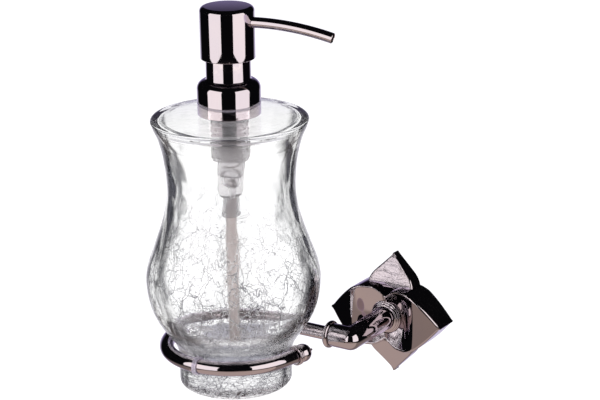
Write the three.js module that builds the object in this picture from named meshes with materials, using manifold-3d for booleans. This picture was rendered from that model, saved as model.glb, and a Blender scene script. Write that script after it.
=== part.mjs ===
// Wall mounted soap dispenser: a sculpted wall rosette with an elbow arm, a rod ring that
// carries a vase-shaped glass bottle, and a lotion pump with a drooping spout.
//
// Millimetres, +Z up. The wall is the plane y = 0 and the dispenser stands out along -Y.
// The origin is the middle of the rosette's back, on the arm's axis; the ring lies at z = 0.
import * as THREE from 'three';
import { mergeVertices } from 'three/addons/utils/BufferGeometryUtils.js';
import Module from 'manifold-3d';

const wasm = await Module();
wasm.setup();

// ---------------------------------------------------------------- driving dimensions
const GAP = 0.3;                  // clearance between pieces that touch or slide
const SMALL_SIDES = 16;
const ROUND_SIDES = 26;
const BOTTLE_SIDES = 32;

// wall plate and rosette
const PLATE_RADIUS = 14.5;
const PLATE_THICKNESS = 5;
const PLATE_GROOVE_DEPTH = 0.8;
const PLATE_POCKET_FLOOR = 1.7;
const SLOT_OFFSET = 9.6;
const SLOT_LENGTH = 7;
const SLOT_WIDTH = 4.4;
const ROSETTE_HALF_DIAGONAL = 33.4;
const ROSETTE_TIP_FLAT = 0.5;
const RAISED_CORNER_HEIGHT = 14;
const RAISED_NOTCH_HEIGHT = 17.8;
const RAISED_CREST_HEIGHT = 14.6;  // at the dip above and below the arm
const RAISED_CENTRE_HEIGHT = 12;
const CREST_DIP = 4.4;             // how far the crest dips towards the arm
const CREST_DIP_REACH = 7.5;       // half width of that dip
const NOTCH_ROUNDING = 1;          // corner taken off the raised outline beside each notch
const NOTCH_BLEND = 4;
const LOBE_CURL = 1.5;             // 1 is a straight slope from notch to corner, more is rounder
const LOBE_BULGE = 1;              // how far a lobe's sides swell past straight lines
const LOW_CORNER_HEIGHT = 5;
const LOW_NOTCH_HEIGHT = 9.2;
const LOW_BASE_HEIGHT = 8.6;
const LOW_PETAL_HALF_WIDTH = 13.6;
const GRUB_ANGLE = 205;            // degrees in the wall plane, from +X towards +Z
const GRUB_RADIUS = 1.6;
const GRUB_LENGTH = 6;
const KEY_DEPTH = 1.8;             // hexagon sockets in the screws
const KEY_SIDES = 6;

// arm
const ARM_REACH = 49;              // wall to the axis of the ring's stem
const ARM_RADIUS = 6.15;
const ELBOW_SLEEVE_END = 10.6;     // arm axis to the end of the elbow
const FLANGE_RADIUS = 8.9;
const FLANGE_THICKNESS = 3.2;
const FLANGE_BEAD = 1;             // width of each bead on the flange's rim
const BEAD_RADIUS = 7.3;
const BEAD_WIDTH = 2.6;
const STEM_SOCKET_END = 4;         // arm axis to the bottom of the stem's socket
const ARM_SCREW_RADIUS = 2.4;
const ARM_SCREW_HEAD_RADIUS = 4.2;
const ARM_SCREW_HEAD_HEIGHT = 2.9;
const ARM_SCREW_GRIP = 9;          // thread inside the arm

// ring, finial and cushions
const ROD_RADIUS = 3.7;
const RING_OFFSET_X = 48.2;        // arm axis to the ring's centre, along -X
const RING_END_ANGLE = -12;        // degrees from +X, where the rod leaves the circle
const ROD_TAIL = 7.6;
const SPIGOT_RADIUS = 1.5;
const SPIGOT_LENGTH = 5.6;
const FINIAL_COLLAR_RADIUS = 5.2;
const FINIAL_COLLAR_WIDTH = 2.4;
const BALL_RADIUS = 4.75;
const BALL_TIP_RADIUS = 1.1;
const BALL_TIP_LENGTH = 2.4;
const CUSHION_ANGLES = [272, 188, 104];
const CUSHION_WIDTH = 2.2;
const CUSHION_THICKNESS = 0.8;

// bottle: heights are measured from the bottom of its foot
const FOOT_DROP = 20.3;            // ring plane down to the foot's bottom
const FOOT_RADIUS = 29;
const FOOT_EDGE = 2.8;
const FOOT_HEIGHT = 17;
const beyondFoot = (extra, height) => [FOOT_RADIUS + extra, height];
const LOWER_FLARE = [beyondFoot(2.6, 24), beyondFoot(9, 33.2), beyondFoot(13.4, 42)];
const BULB = beyondFoot(15.6, 53.5);
const UPPER_BULB = [beyondFoot(15, 63), beyondFoot(11.2, 74.2), beyondFoot(7, 86.2), beyondFoot(4.5, 96.5)];
const WAIST = beyondFoot(3.6, 107.5);
const NECK_FLARE = [beyondFoot(4.9, 121.5), beyondFoot(7.4, 131.5), beyondFoot(10, 137.8)];
const RIM = beyondFoot(10.9, 140.6);
const RING_RADIUS = FOOT_RADIUS + 6.4;  // the ring clears the foot and carries the flare above it
const RIM_EDGE = 1.3;
const SHOULDER_RISE = 1.7;         // how much the top domes from rim to mouth
const GLASS_WALL = 3.4;
const GLASS_BASE = 17;
const MOUTH_RADIUS = 10.4;
const MOUTH_THICKNESS = 3.6;
const CAVITY_EDGE = 2.2;           // rounding inside, under the rim
const CAVITY_DROP = 0.8;           // cavity's ceiling, from mouth to rim

// neck insert and pump
const INSERT_LENGTH = 23;          // below the bottle's top
const INSERT_RIB = 0.7;
const INSERT_RIBS = 4;
const INSERT_BORE = 7.5;
const INSERT_FLANGE_RADIUS = 12.8;
const INSERT_FLANGE_THICKNESS = 1.4;
const THREAD_RADIUS = 12.2;
const THREAD_HEIGHT = 9.4;
const GASKET_THICKNESS = 1.4;
const CYLINDER_RADIUS = 6.8;
const CYLINDER_BORE = 5.5;
const CYLINDER_FLANGE_RADIUS = 11.2;
const CYLINDER_FLANGE_THICKNESS = 1.8;
const CYLINDER_LENGTH = 52;        // flange down to the taper
const TAPER_LENGTH = 4;
const SOCKET_RADIUS = 4.3;
const SOCKET_LENGTH = 10;
const DIP_RADIUS = 3;
const DIP_BORE = 2.1;
const DIP_END = 22;                // above the foot's bottom
const VALVE_BORE = 1.5;
const CHECK_BALL_RADIUS = 2.2;
const LOCK_RING_RADIUS = 9.6;
const LOCK_RING_HEIGHT = 4;
const LOCK_RING_RIM = 1.4;
const LOCK_RING_WALL = 1.7;
const STEM_RADIUS = 3.2;
const STEM_BORE = 1.9;
const PISTON_DEPTH = 14;           // cylinder's top down to the piston
const PISTON_LENGTH = 5;
const PISTON_LIP = 1.2;
const SPRING_RADIUS = 4;
const SPRING_WIRE = 0.5;
const SPRING_TURNS = 8;

// closure and head
const STROKE = 9.5;
const COLLAR_RADIUS = 16;
const COLLAR_HEIGHT = 17.5;
const COLLAR_EDGE = 4.4;
const COLLAR_WALL = 1;
const NECK_VISIBLE = 11.1;         // between the collar and the head
const NECK_OVERLAP = 3.2;          // how far the neck runs up inside the head
const NECK_FILLET = 1.2;
const HEAD_RADIUS = 13.7;
const NECK_RADIUS = HEAD_RADIUS - 2.45;  // the head slides down over the neck
const HEAD_HEIGHT = 26.3;
const HEAD_EDGE = 2.4;
const HEAD_WALL = 1;
const SPOUT_RADIUS = 2.7;
const SPOUT_BORE = 2.2;
const SPOUT_ANGLE = 12.5;          // degrees from +X towards the wall
const SPOUT_DEPTH = 7.4;           // head's top down to the spout's axis
const SPOUT_START = 5;             // from the pump's axis
const SPOUT_STRAIGHT = 17;
const SPOUT_REACH = 55.4;
const SPOUT_DROP = 5.2;

// ---------------------------------------------------------------- places that follow
const TOP_OF_GLASS = RIM[1] + RIM_EDGE + SHOULDER_RISE;
const MOUTH_UNDERSIDE = TOP_OF_GLASS - MOUTH_THICKNESS;
const INSERT_BOTTOM = TOP_OF_GLASS - INSERT_LENGTH;
const INSERT_TOP = TOP_OF_GLASS + GAP + INSERT_FLANGE_THICKNESS + THREAD_HEIGHT;
const CYLINDER_SEAT = INSERT_TOP + GAP + GASKET_THICKNESS + GAP;
const CYLINDER_TOP = CYLINDER_SEAT + CYLINDER_FLANGE_THICKNESS;
const TAPER_TOP = CYLINDER_SEAT - CYLINDER_LENGTH;
const SOCKET_TOP = TAPER_TOP - TAPER_LENGTH;
const SOCKET_BOTTOM = SOCKET_TOP - SOCKET_LENGTH;
const CYLINDER_FLOOR = TAPER_TOP + 1;
const COLLAR_BOTTOM = TOP_OF_GLASS + GAP;
const COLLAR_TOP = COLLAR_BOTTOM + COLLAR_HEIGHT;
const HEAD_BOTTOM = COLLAR_TOP + NECK_VISIBLE;
const HEAD_TOP = HEAD_BOTTOM + HEAD_HEIGHT;
const NECK_TOP = HEAD_BOTTOM + NECK_OVERLAP;
const SPOUT_HEIGHT = HEAD_TOP - SPOUT_DEPTH;
const CORE_TOP = HEAD_TOP - HEAD_WALL - GAP;
const CORE_STEP = NECK_TOP + STROKE + GAP;
const STEM_TOP = SPOUT_HEIGHT - SPOUT_RADIUS - 1;
const PISTON_BOTTOM = CYLINDER_TOP - PISTON_DEPTH;
const BALL_RISE = Math.sqrt(CHECK_BALL_RADIUS ** 2 - VALVE_BORE ** 2);  // ball centre above its seat
const BALL_CENTRE = CYLINDER_FLOOR + GAP + BALL_RISE;
const SPRING_BOTTOM = BALL_CENTRE + CHECK_BALL_RADIUS + 2;
const SPRING_TOP = PISTON_BOTTOM - GAP;
const RING_CENTRE = new THREE.Vector2(-RING_OFFSET_X, -ARM_REACH - RING_RADIUS);

// ---------------------------------------------------------------- materials
const finish = (color, metalness, roughness, opacity = 1) =>
  new THREE.MeshStandardMaterial({ color, metalness, roughness, opacity, transparent: opacity < 1 });
const DARK_CHROME = finish(0x8a8088, 1, 0.06);
const STEEL = finish(0xb8bcc0, 1, 0.3);
const GLASS = finish(0xe8ecf0, 0, 0.03, 0.3);
const CLEAR_PLASTIC = finish(0xd9d5d3, 0, 0.35, 0.7);
const WHITE_PLASTIC = finish(0xe9e6e2, 0, 0.4);
const SILICONE = finish(0xcfc8d4, 0, 0.4, 0.8);

// ---------------------------------------------------------------- shape helpers
const radians = THREE.MathUtils.degToRad;
const object = new THREE.Group();

function toSolid(geometry) {
  const bare = geometry.clone();
  bare.deleteAttribute('normal');
  bare.deleteAttribute('uv');
  const merged = mergeVertices(bare, 1e-4);
  const mesh = new wasm.Mesh({
    numProp: 3,
    vertProperties: new Float32Array(merged.attributes.position.array),
    triVerts: new Uint32Array(merged.index.array),
  });
  return new wasm.Manifold(mesh);
}

function toGeometry(solid) {
  const mesh = solid.getMesh();
  const geometry = new THREE.BufferGeometry();
  const positions = new Float32Array(mesh.vertProperties);
  geometry.setAttribute('position', new THREE.BufferAttribute(positions, 3));
  geometry.setIndex(new THREE.BufferAttribute(new Uint32Array(mesh.triVerts), 1));
  geometry.computeVertexNormals();
  return geometry;
}

const join = (...parts) => toGeometry(parts.map(toSolid).reduce((whole, part) => whole.add(part)));
const cut = (body, ...tools) =>
  toGeometry(tools.map(toSolid).reduce((whole, tool) => whole.subtract(tool), toSolid(body)));

// A body turned about Z. The outline is [radius, height] pairs: up the outside, then back down.
function turned(outline, sides = ROUND_SIDES) {
  const points = outline.map(([radius, height]) => new THREE.Vector2(Math.max(radius, 0), height));
  return new THREE.LatheGeometry(points, sides).rotateX(Math.PI / 2);
}

// A ring about Z: the outline closes on itself.
const turnedRing = (outline, sides) => turned([...outline, outline[0]], sides);

const rod = (radius, from, to, sides = SMALL_SIDES) =>
  turned([[0, from], [radius, from], [radius, to], [0, to]], sides);

const sleeve = (bore, radius, from, to, sides) =>
  turnedRing([[bore, from], [radius, from], [radius, to], [bore, to]], sides);

// Points on an arc about [r, z], from one angle to another in degrees.
function arc(centre, radius, from, to, steps = 4) {
  const points = [];
  for (let step = 0; step <= steps; step += 1) {
    const angle = radians(from + (to - from) * step / steps);
    points.push([centre[0] + radius * Math.cos(angle), centre[1] + radius * Math.sin(angle)]);
  }
  return points;
}

// A smooth outline through a few [radius, height] points.
function smooth(points, steps) {
  const stops = points.map(([radius, height]) => new THREE.Vector2(radius, height));
  const curve = new THREE.SplineCurve(stops);
  return curve.getPoints(steps).map((point) => [point.x, point.y]);
}

function circle(radius, sides) {
  const shape = new THREE.Shape();
  for (let side = 0; side < sides; side += 1) {
    const angle = 2 * Math.PI * side / sides;
    const place = [radius * Math.cos(angle), radius * Math.sin(angle)];
    if (side === 0) shape.moveTo(...place);
    else shape.lineTo(...place);
  }
  return shape;
}

function tube(path, radius, steps, sides, bore = 0) {
  const section = circle(radius, sides);
  if (bore > 0) section.holes.push(circle(bore, sides));
  return new THREE.ExtrudeGeometry(section, { steps, extrudePath: path, curveSegments: sides });
}

// Turns a body made about Z so that its axis points along a direction, and moves it.
function aimed(geometry, place, direction) {
  const up = new THREE.Vector3(0, 0, 1);
  const turn = new THREE.Quaternion().setFromUnitVectors(up, direction.clone().normalize());
  return geometry.applyQuaternion(turn).translate(place.x, place.y, place.z);
}

function add(parent, name, geometry, material) {
  const mesh = new THREE.Mesh(geometry, material);
  mesh.name = name;
  parent.add(mesh);
}

// ---------------------------------------------------------------- wall plate and rosette
const OUT_FROM_WALL = new THREE.Vector3(0, -1, 0);
const ORIGIN = new THREE.Vector3();
const outward = (geometry) => aimed(geometry, ORIGIN, OUT_FROM_WALL);

function wallPlate() {
  const middle = PLATE_THICKNESS / 2;
  const groove = PLATE_RADIUS - PLATE_GROOVE_DEPTH;
  const disc = turned([
    [0, 0], [PLATE_RADIUS, 0], [PLATE_RADIUS, middle - PLATE_GROOVE_DEPTH], [groove, middle],
    [PLATE_RADIUS, middle + PLATE_GROOVE_DEPTH], [PLATE_RADIUS, PLATE_THICKNESS], [0, PLATE_THICKNESS],
  ]);
  const pocket = rod(ARM_SCREW_HEAD_RADIUS + 1, PLATE_POCKET_FLOOR, PLATE_THICKNESS + 1);
  const slots = [-1, 1].flatMap((side) => [-1, 0, 1].map((step) => {
    const offset = side * SLOT_OFFSET;
    const along = step * (SLOT_LENGTH - SLOT_WIDTH) / 2;
    if (step === 0) {
      const straight = SLOT_LENGTH - SLOT_WIDTH;
      return new THREE.BoxGeometry(SLOT_WIDTH, straight, 3 * PLATE_THICKNESS).translate(offset, 0, 0);
    }
    return rod(SLOT_WIDTH / 2, -1, PLATE_THICKNESS + 1).translate(offset, along, 0);
  }));
  return outward(cut(disc, pocket, ...slots));
}

// A closed slab over a grid in the wall plane. place(s, t) gives [x, z] for s and t from 0 to 1,
// and height(x, z) gives how far the front stands off the wall.
function slab(columns, rows, place, height) {
  const positions = [];
  for (const front of [true, false]) {
    for (let row = 0; row <= rows; row += 1) {
      for (let column = 0; column <= columns; column += 1) {
        const [x, z] = place(column / columns, row / rows);
        positions.push(x, front ? -height(x, z) : 0, z);
      }
    }
  }
  const layer = (columns + 1) * (rows + 1);
  const at = (column, row, back = 0) => back * layer + row * (columns + 1) + column;
  const faces = [];
  const quad = (a, b, c, d) => faces.push(a, b, c, a, c, d);
  for (let row = 0; row < rows; row += 1) {
    for (let column = 0; column < columns; column += 1) {
      quad(at(column, row), at(column + 1, row), at(column + 1, row + 1), at(column, row + 1));
      quad(at(column, row, 1), at(column, row + 1, 1), at(column + 1, row + 1, 1), at(column + 1, row, 1));
    }
    quad(at(0, row), at(0, row + 1), at(0, row + 1, 1), at(0, row, 1));
    quad(at(columns, row), at(columns, row, 1), at(columns, row + 1, 1), at(columns, row + 1));
  }
  for (let column = 0; column < columns; column += 1) {
    quad(at(column, 0), at(column, 0, 1), at(column + 1, 0, 1), at(column + 1, 0));
    quad(at(column, rows), at(column + 1, rows), at(column + 1, rows, 1), at(column, rows, 1));
  }
  const geometry = new THREE.BufferGeometry();
  geometry.setAttribute('position', new THREE.Float32BufferAttribute(positions, 3));
  geometry.setIndex(faces);
  return geometry;
}

const mix = THREE.MathUtils.lerp;
const ease = THREE.MathUtils.smoothstep;
const NOTCH = ROSETTE_HALF_DIAGONAL / 2;

// The raised pair of petals spans left to right; its edge runs level between the notches and
// dips towards the arm in the middle.
function raisedEdge(x) {
  const reach = Math.abs(x);
  const rounding = NOTCH_ROUNDING * Math.max(1 - Math.abs(reach - NOTCH) / NOTCH_BLEND, 0) ** 2;
  if (reach > NOTCH) {
    const bulge = LOBE_BULGE * Math.sin(Math.PI * (reach - NOTCH) / NOTCH);
    return Math.max(ROSETTE_HALF_DIAGONAL - reach + bulge - rounding, ROSETTE_TIP_FLAT);
  }
  return NOTCH - CREST_DIP * Math.max(1 - reach / CREST_DIP_REACH, 0) ** 1.5 - rounding;
}

function raisedHeight(x, z) {
  const reach = Math.abs(x) / NOTCH;
  const crest = reach > 1
    ? mix(RAISED_NOTCH_HEIGHT, RAISED_CORNER_HEIGHT, Math.min(reach - 1, 1) ** LOBE_CURL)
    : mix(RAISED_CREST_HEIGHT, RAISED_NOTCH_HEIGHT, ease(reach, 0, 1));
  const middle = mix(RAISED_CENTRE_HEIGHT, crest, ease(reach, 0.55, 1.15));
  return mix(middle, crest, Math.pow(Math.abs(z) / raisedEdge(x), 1.7));
}

function lowHalfWidth(z) {
  const side = ROSETTE_HALF_DIAGONAL - z;
  const turn = ROSETTE_HALF_DIAGONAL - LOW_PETAL_HALF_WIDTH;
  const blend = 4;
  const share = THREE.MathUtils.clamp((z - turn + blend) / (2 * blend), 0, 1);
  const rounded = LOW_PETAL_HALF_WIDTH - blend * share * share;
  return Math.max(z > turn + blend ? side : rounded, ROSETTE_TIP_FLAT);
}

function lowHeight(x, z) {
  const down = ease(ROSETTE_HALF_DIAGONAL - z, 0, NOTCH + 2);
  const across = Math.min(Math.abs(x) / lowHalfWidth(z), 1);
  const edge = mix(LOW_CORNER_HEIGHT, LOW_NOTCH_HEIGHT, down);
  const spine = mix(LOW_CORNER_HEIGHT, LOW_BASE_HEIGHT, down);
  return mix(spine, edge, across * across);
}

function rosette() {
  const raised = slab(24, 8, (s, t) => {
    const x = mix(-ROSETTE_HALF_DIAGONAL, ROSETTE_HALF_DIAGONAL, s);
    return [x, (2 * t - 1) * raisedEdge(x)];
  }, raisedHeight);
  const petalBase = NOTCH - CREST_DIP - 3;
  const petal = (side) => slab(6, 10, (s, t) => {
    const z = mix(petalBase, ROSETTE_HALF_DIAGONAL, side > 0 ? t : 1 - t);
    return [(2 * s - 1) * lowHalfWidth(z), side * z];
  }, (x, z) => lowHeight(x, Math.abs(z)));
  const recess = outward(rod(PLATE_RADIUS + GAP, -1, PLATE_THICKNESS + GAP, ROUND_SIDES));
  const screwHole = outward(rod(ARM_SCREW_RADIUS + GAP, 0, RAISED_CENTRE_HEIGHT + 2));
  const flangeSeat = outward(rod(FLANGE_RADIUS + GAP, RAISED_CENTRE_HEIGHT, 2 * RAISED_NOTCH_HEIGHT, ROUND_SIDES));
  const grubHole = aimed(rod(GRUB_RADIUS + GAP, 0, ROSETTE_HALF_DIAGONAL), grubPlace(0), grubDirection());
  return cut(join(raised, petal(1), petal(-1)), recess, screwHole, flangeSeat, grubHole);
}

const grubDirection = () =>
  new THREE.Vector3(Math.cos(radians(GRUB_ANGLE)), 0, Math.sin(radians(GRUB_ANGLE)));
const grubPlace = (reach) =>
  grubDirection().multiplyScalar(reach).add(new THREE.Vector3(0, -PLATE_THICKNESS / 2, 0));

function grubScrew() {
  const point = GRUB_RADIUS / 2;
  const body = turned([
    [0, 0], [GRUB_RADIUS - point, 0], [GRUB_RADIUS, point], [GRUB_RADIUS, GRUB_LENGTH], [0, GRUB_LENGTH],
  ]);
  const key = rod(GRUB_RADIUS / 2, GRUB_LENGTH - KEY_DEPTH, GRUB_LENGTH + 1, KEY_SIDES);
  return aimed(cut(body, key), grubPlace(PLATE_RADIUS + GAP), grubDirection());
}

// ---------------------------------------------------------------- arm
const ARM_START = RAISED_CENTRE_HEIGHT + GAP;

function armScrew() {
  const headStart = PLATE_THICKNESS - ARM_SCREW_HEAD_HEIGHT;
  const end = ARM_START + ARM_SCREW_GRIP;
  const body = turned([
    [0, headStart], [ARM_SCREW_HEAD_RADIUS, headStart], [ARM_SCREW_HEAD_RADIUS, PLATE_THICKNESS],
    [ARM_SCREW_RADIUS, PLATE_THICKNESS], [ARM_SCREW_RADIUS, end - 1], [ARM_SCREW_RADIUS - 1, end], [0, end],
  ]);
  const key = rod(ARM_SCREW_HEAD_RADIUS / 2, headStart - 1, headStart + KEY_DEPTH, KEY_SIDES);
  return outward(cut(body, key));
}

function armFlange() {
  const bore = ARM_RADIUS + GAP;
  const round = FLANGE_BEAD / 2;
  const secondRadius = FLANGE_RADIUS - FLANGE_BEAD / 2;
  const outline = [
    [bore, 0],
    ...arc([FLANGE_RADIUS - round, round], round, -90, 80, 3),
    ...arc([secondRadius - round, 3 * round], round, -50, 90, 3),
    [bore + 1, FLANGE_THICKNESS - 0.4],
    [bore, FLANGE_THICKNESS],
  ];
  return outward(turnedRing(outline).translate(0, 0, ARM_START));
}

// Two straight rods that meet in a ball, so the corner is round outside and sharp inside.
function elbowArm() {
  const corner = new THREE.Vector3(0, -ARM_REACH, 0);
  const left = new THREE.Vector3(-1, 0, 0);
  const arm = outward(rod(ARM_RADIUS, ARM_START, ARM_REACH, ROUND_SIDES));
  const sleeveRod = aimed(rod(ARM_RADIUS, 0, ELBOW_SLEEVE_END, ROUND_SIDES), corner, left);
  const ball = turned(arc([0, 0], ARM_RADIUS, -90, 90, 12), ROUND_SIDES).translate(0, -ARM_REACH, 0);
  const screwBore = outward(rod(ARM_SCREW_RADIUS + GAP, ARM_START - 1, ARM_START + ARM_SCREW_GRIP + 1));
  const socket = aimed(rod(ROD_RADIUS + GAP, STEM_SOCKET_END, ELBOW_SLEEVE_END + 1), corner, left);
  return cut(join(arm, sleeveRod, ball), screwBore, socket);
}

function elbowBead() {
  const round = BEAD_WIDTH / 2;
  const outline = [
    [ROD_RADIUS + GAP, 0], ...arc([BEAD_RADIUS - round, round], round, -90, 90), [ROD_RADIUS + GAP, BEAD_WIDTH],
  ];
  const place = new THREE.Vector3(-ELBOW_SLEEVE_END - GAP, -ARM_REACH, 0);
  return aimed(turnedRing(outline), place, new THREE.Vector3(-1, 0, 0));
}

// ---------------------------------------------------------------- ring, finial and cushions
const onRing = (degrees) => new THREE.Vector3(
  RING_CENTRE.x + RING_RADIUS * Math.cos(radians(degrees)),
  RING_CENTRE.y + RING_RADIUS * Math.sin(radians(degrees)), 0);
const alongRing = (degrees) => new THREE.Vector3(-Math.sin(radians(degrees)), Math.cos(radians(degrees)), 0);
const pastRing = (distance) => onRing(RING_END_ANGLE).addScaledVector(alongRing(RING_END_ANGLE), distance);

// The ring's circle, from the stem at the wall side round to the finial.
class RingArc extends THREE.Curve {
  getPoint(share, target = new THREE.Vector3()) {
    return target.copy(onRing(mix(90, 360 + RING_END_ANGLE, share)));
  }
}

function holderRing() {
  const path = new THREE.CurvePath();
  const stemStart = new THREE.Vector3(-STEM_SOCKET_END - GAP, -ARM_REACH, 0);
  path.add(new THREE.LineCurve3(stemStart, onRing(90)));
  path.add(new RingArc());
  path.add(new THREE.LineCurve3(onRing(RING_END_ANGLE), pastRing(ROD_TAIL)));
  const spigot = aimed(rod(SPIGOT_RADIUS, -1, SPIGOT_LENGTH, 12), pastRing(ROD_TAIL), alongRing(RING_END_ANGLE));
  return join(tube(path, ROD_RADIUS, 56, 12), spigot);
}

function finialCollar() {
  const round = FINIAL_COLLAR_WIDTH / 4;
  const bore = SPIGOT_RADIUS + GAP;
  const outline = [
    [bore, 0],
    ...arc([FINIAL_COLLAR_RADIUS - round, round], round, -90, 60),
    ...arc([FINIAL_COLLAR_RADIUS - round, 3 * round], round, -60, 90),
    [bore, FINIAL_COLLAR_WIDTH],
  ];
  return aimed(turnedRing(outline, 18), pastRing(ROD_TAIL + GAP), alongRing(RING_END_ANGLE));
}

function finialBall() {
  const faceRadius = ROD_RADIUS;
  const faceAngle = -90 + THREE.MathUtils.radToDeg(Math.asin(faceRadius / BALL_RADIUS));
  const tipAngle = 90 - THREE.MathUtils.radToDeg(Math.asin(BALL_TIP_RADIUS / BALL_RADIUS));
  const faceOffset = BALL_RADIUS * Math.cos(Math.asin(faceRadius / BALL_RADIUS));
  const body = turned([
    [0, -faceOffset], ...arc([0, 0], BALL_RADIUS, faceAngle, tipAngle, 8), [0, BALL_RADIUS + BALL_TIP_LENGTH],
  ], 18);
  const bore = rod(SPIGOT_RADIUS + GAP, -BALL_RADIUS - 1, SPIGOT_LENGTH - FINIAL_COLLAR_WIDTH - faceOffset + GAP, 12);
  const centre = ROD_TAIL + GAP + FINIAL_COLLAR_WIDTH + GAP + faceOffset;
  return aimed(cut(body, bore), pastRing(centre), alongRing(RING_END_ANGLE));
}

function cushion(degrees) {
  const bore = ROD_RADIUS + GAP;
  const outer = bore + CUSHION_THICKNESS;
  const outline = [
    [bore, 0], [outer - 0.3, 0], [outer, 0.4], [outer, CUSHION_WIDTH - 0.4], [outer - 0.3, CUSHION_WIDTH],
    [bore, CUSHION_WIDTH],
  ];
  const centred = turnedRing(outline, SMALL_SIDES).translate(0, 0, -CUSHION_WIDTH / 2);
  return aimed(centred, onRing(degrees), alongRing(degrees));
}

// ---------------------------------------------------------------- bottle
function glassBottle() {
  const footEdge = arc([FOOT_RADIUS - FOOT_EDGE, FOOT_EDGE], FOOT_EDGE, -90, 0);
  const profile = [[FOOT_RADIUS, FOOT_HEIGHT], ...LOWER_FLARE, BULB, ...UPPER_BULB, WAIST, ...NECK_FLARE, RIM];
  const body = smooth(profile, 16);
  const rimEdge = arc([RIM[0] - RIM_EDGE, RIM[1]], RIM_EDGE, 0, 90, 3).slice(1);
  const inward = ([radius, height], lift = 0) => [radius - GLASS_WALL, height + lift];
  const ceiling = MOUTH_UNDERSIDE - CAVITY_DROP;
  const cavityEdge = [RIM[0] - GLASS_WALL - CAVITY_DROP - CAVITY_EDGE, ceiling - CAVITY_EDGE];
  const inside = smooth([
    inward(NECK_FLARE[1], -1), inward(NECK_FLARE[0], -1), inward(WAIST),
    ...[...UPPER_BULB].reverse().map((point) => inward(point)), inward(BULB),
    inward(LOWER_FLARE[2], 1), inward(LOWER_FLARE[1], 1),
    [FOOT_RADIUS - 2.2 * GLASS_WALL, GLASS_BASE + 3.5],
  ], 11);
  return turned([
    [0, 0], ...footEdge, ...body, ...rimEdge, [MOUTH_RADIUS, TOP_OF_GLASS],
    [MOUTH_RADIUS, MOUTH_UNDERSIDE], ...arc(cavityEdge, CAVITY_EDGE, 90, 0, 3),
    ...inside, [FOOT_RADIUS / 2, GLASS_BASE + 0.6], [0, GLASS_BASE],
  ], BOTTLE_SIDES);
}

function neckInsert() {
  const spigot = MOUTH_RADIUS - GAP;
  const waist = spigot - INSERT_RIB - 0.5;
  const outline = [[INSERT_BORE, INSERT_BOTTOM]];
  const ribZone = INSERT_LENGTH - MOUTH_THICKNESS - 3;
  const pitch = ribZone / INSERT_RIBS;
  for (let rib = 0; rib < INSERT_RIBS; rib += 1) {
    const low = INSERT_BOTTOM + rib * pitch;
    outline.push([waist, low], [waist + INSERT_RIB, low + pitch / 2], [waist, low + pitch * 0.9]);
  }
  const flangeBottom = TOP_OF_GLASS + GAP;
  const flangeTop = flangeBottom + INSERT_FLANGE_THICKNESS;
  outline.push(
    [waist, MOUTH_UNDERSIDE - 1], [spigot, MOUTH_UNDERSIDE + 0.5], [spigot, flangeBottom],
    [INSERT_FLANGE_RADIUS, flangeBottom], [INSERT_FLANGE_RADIUS, flangeTop],
    [THREAD_RADIUS, flangeTop], [THREAD_RADIUS, INSERT_TOP], [INSERT_BORE, INSERT_TOP],
  );
  return turnedRing(outline);
}

// ---------------------------------------------------------------- pump
function pumpCylinder() {
  return turnedRing([
    [CYLINDER_BORE, CYLINDER_TOP],
    [CYLINDER_BORE, SPRING_BOTTOM - GAP],
    [CHECK_BALL_RADIUS + 1, SPRING_BOTTOM - GAP],
    [CHECK_BALL_RADIUS + 1, CYLINDER_FLOOR + 1.2],
    [VALVE_BORE, CYLINDER_FLOOR],
    [VALVE_BORE, SOCKET_TOP],
    [DIP_RADIUS + GAP, SOCKET_TOP],
    [DIP_RADIUS + GAP, SOCKET_BOTTOM],
    [SOCKET_RADIUS + 0.4, SOCKET_BOTTOM],
    [SOCKET_RADIUS + 0.4, SOCKET_BOTTOM + 1.6],
    [SOCKET_RADIUS, SOCKET_BOTTOM + 2],
    [SOCKET_RADIUS, SOCKET_TOP],
    [CYLINDER_RADIUS - 1.2, SOCKET_TOP + 0.6],
    [CYLINDER_RADIUS - 0.3, TAPER_TOP],
    [CYLINDER_RADIUS, TAPER_TOP + 10],
    [CYLINDER_RADIUS, CYLINDER_SEAT],
    [CYLINDER_FLANGE_RADIUS, CYLINDER_SEAT],
    [CYLINDER_FLANGE_RADIUS, CYLINDER_TOP],
  ], 20);
}

const gasket = () =>
  sleeve(CYLINDER_RADIUS + GAP, THREAD_RADIUS - GAP, INSERT_TOP + GAP, INSERT_TOP + GAP + GASKET_THICKNESS, 20);

const dipTube = () => sleeve(DIP_BORE, DIP_RADIUS, DIP_END, SOCKET_TOP - GAP, 16);

function lockRing() {
  const base = CYLINDER_TOP + GAP;
  const bore = STEM_RADIUS + GAP;
  const boss = bore + LOCK_RING_WALL;
  return turnedRing([
    [bore, base], [LOCK_RING_RADIUS, base], [LOCK_RING_RADIUS, base + LOCK_RING_RIM],
    [boss + 0.4, base + LOCK_RING_RIM + 0.4], [boss, base + LOCK_RING_HEIGHT], [bore, base + LOCK_RING_HEIGHT],
  ], 18);
}

function pistonSeal() {
  const outer = CYLINDER_BORE - GAP;
  const bore = STEM_RADIUS + GAP;
  const low = PISTON_BOTTOM;
  const high = PISTON_BOTTOM + PISTON_LENGTH;
  return turnedRing([
    [bore, low], [outer - 1, low + PISTON_LIP / 2], [outer, low], [outer, low + PISTON_LIP],
    [outer - 0.8, (low + high) / 2], [outer, high - PISTON_LIP / 2], [outer - PISTON_LIP / 2, high], [bore, high],
  ], 18);
}

const plungerStem = () => sleeve(STEM_BORE, STEM_RADIUS, PISTON_BOTTOM + 1, STEM_TOP, 16);

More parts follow.
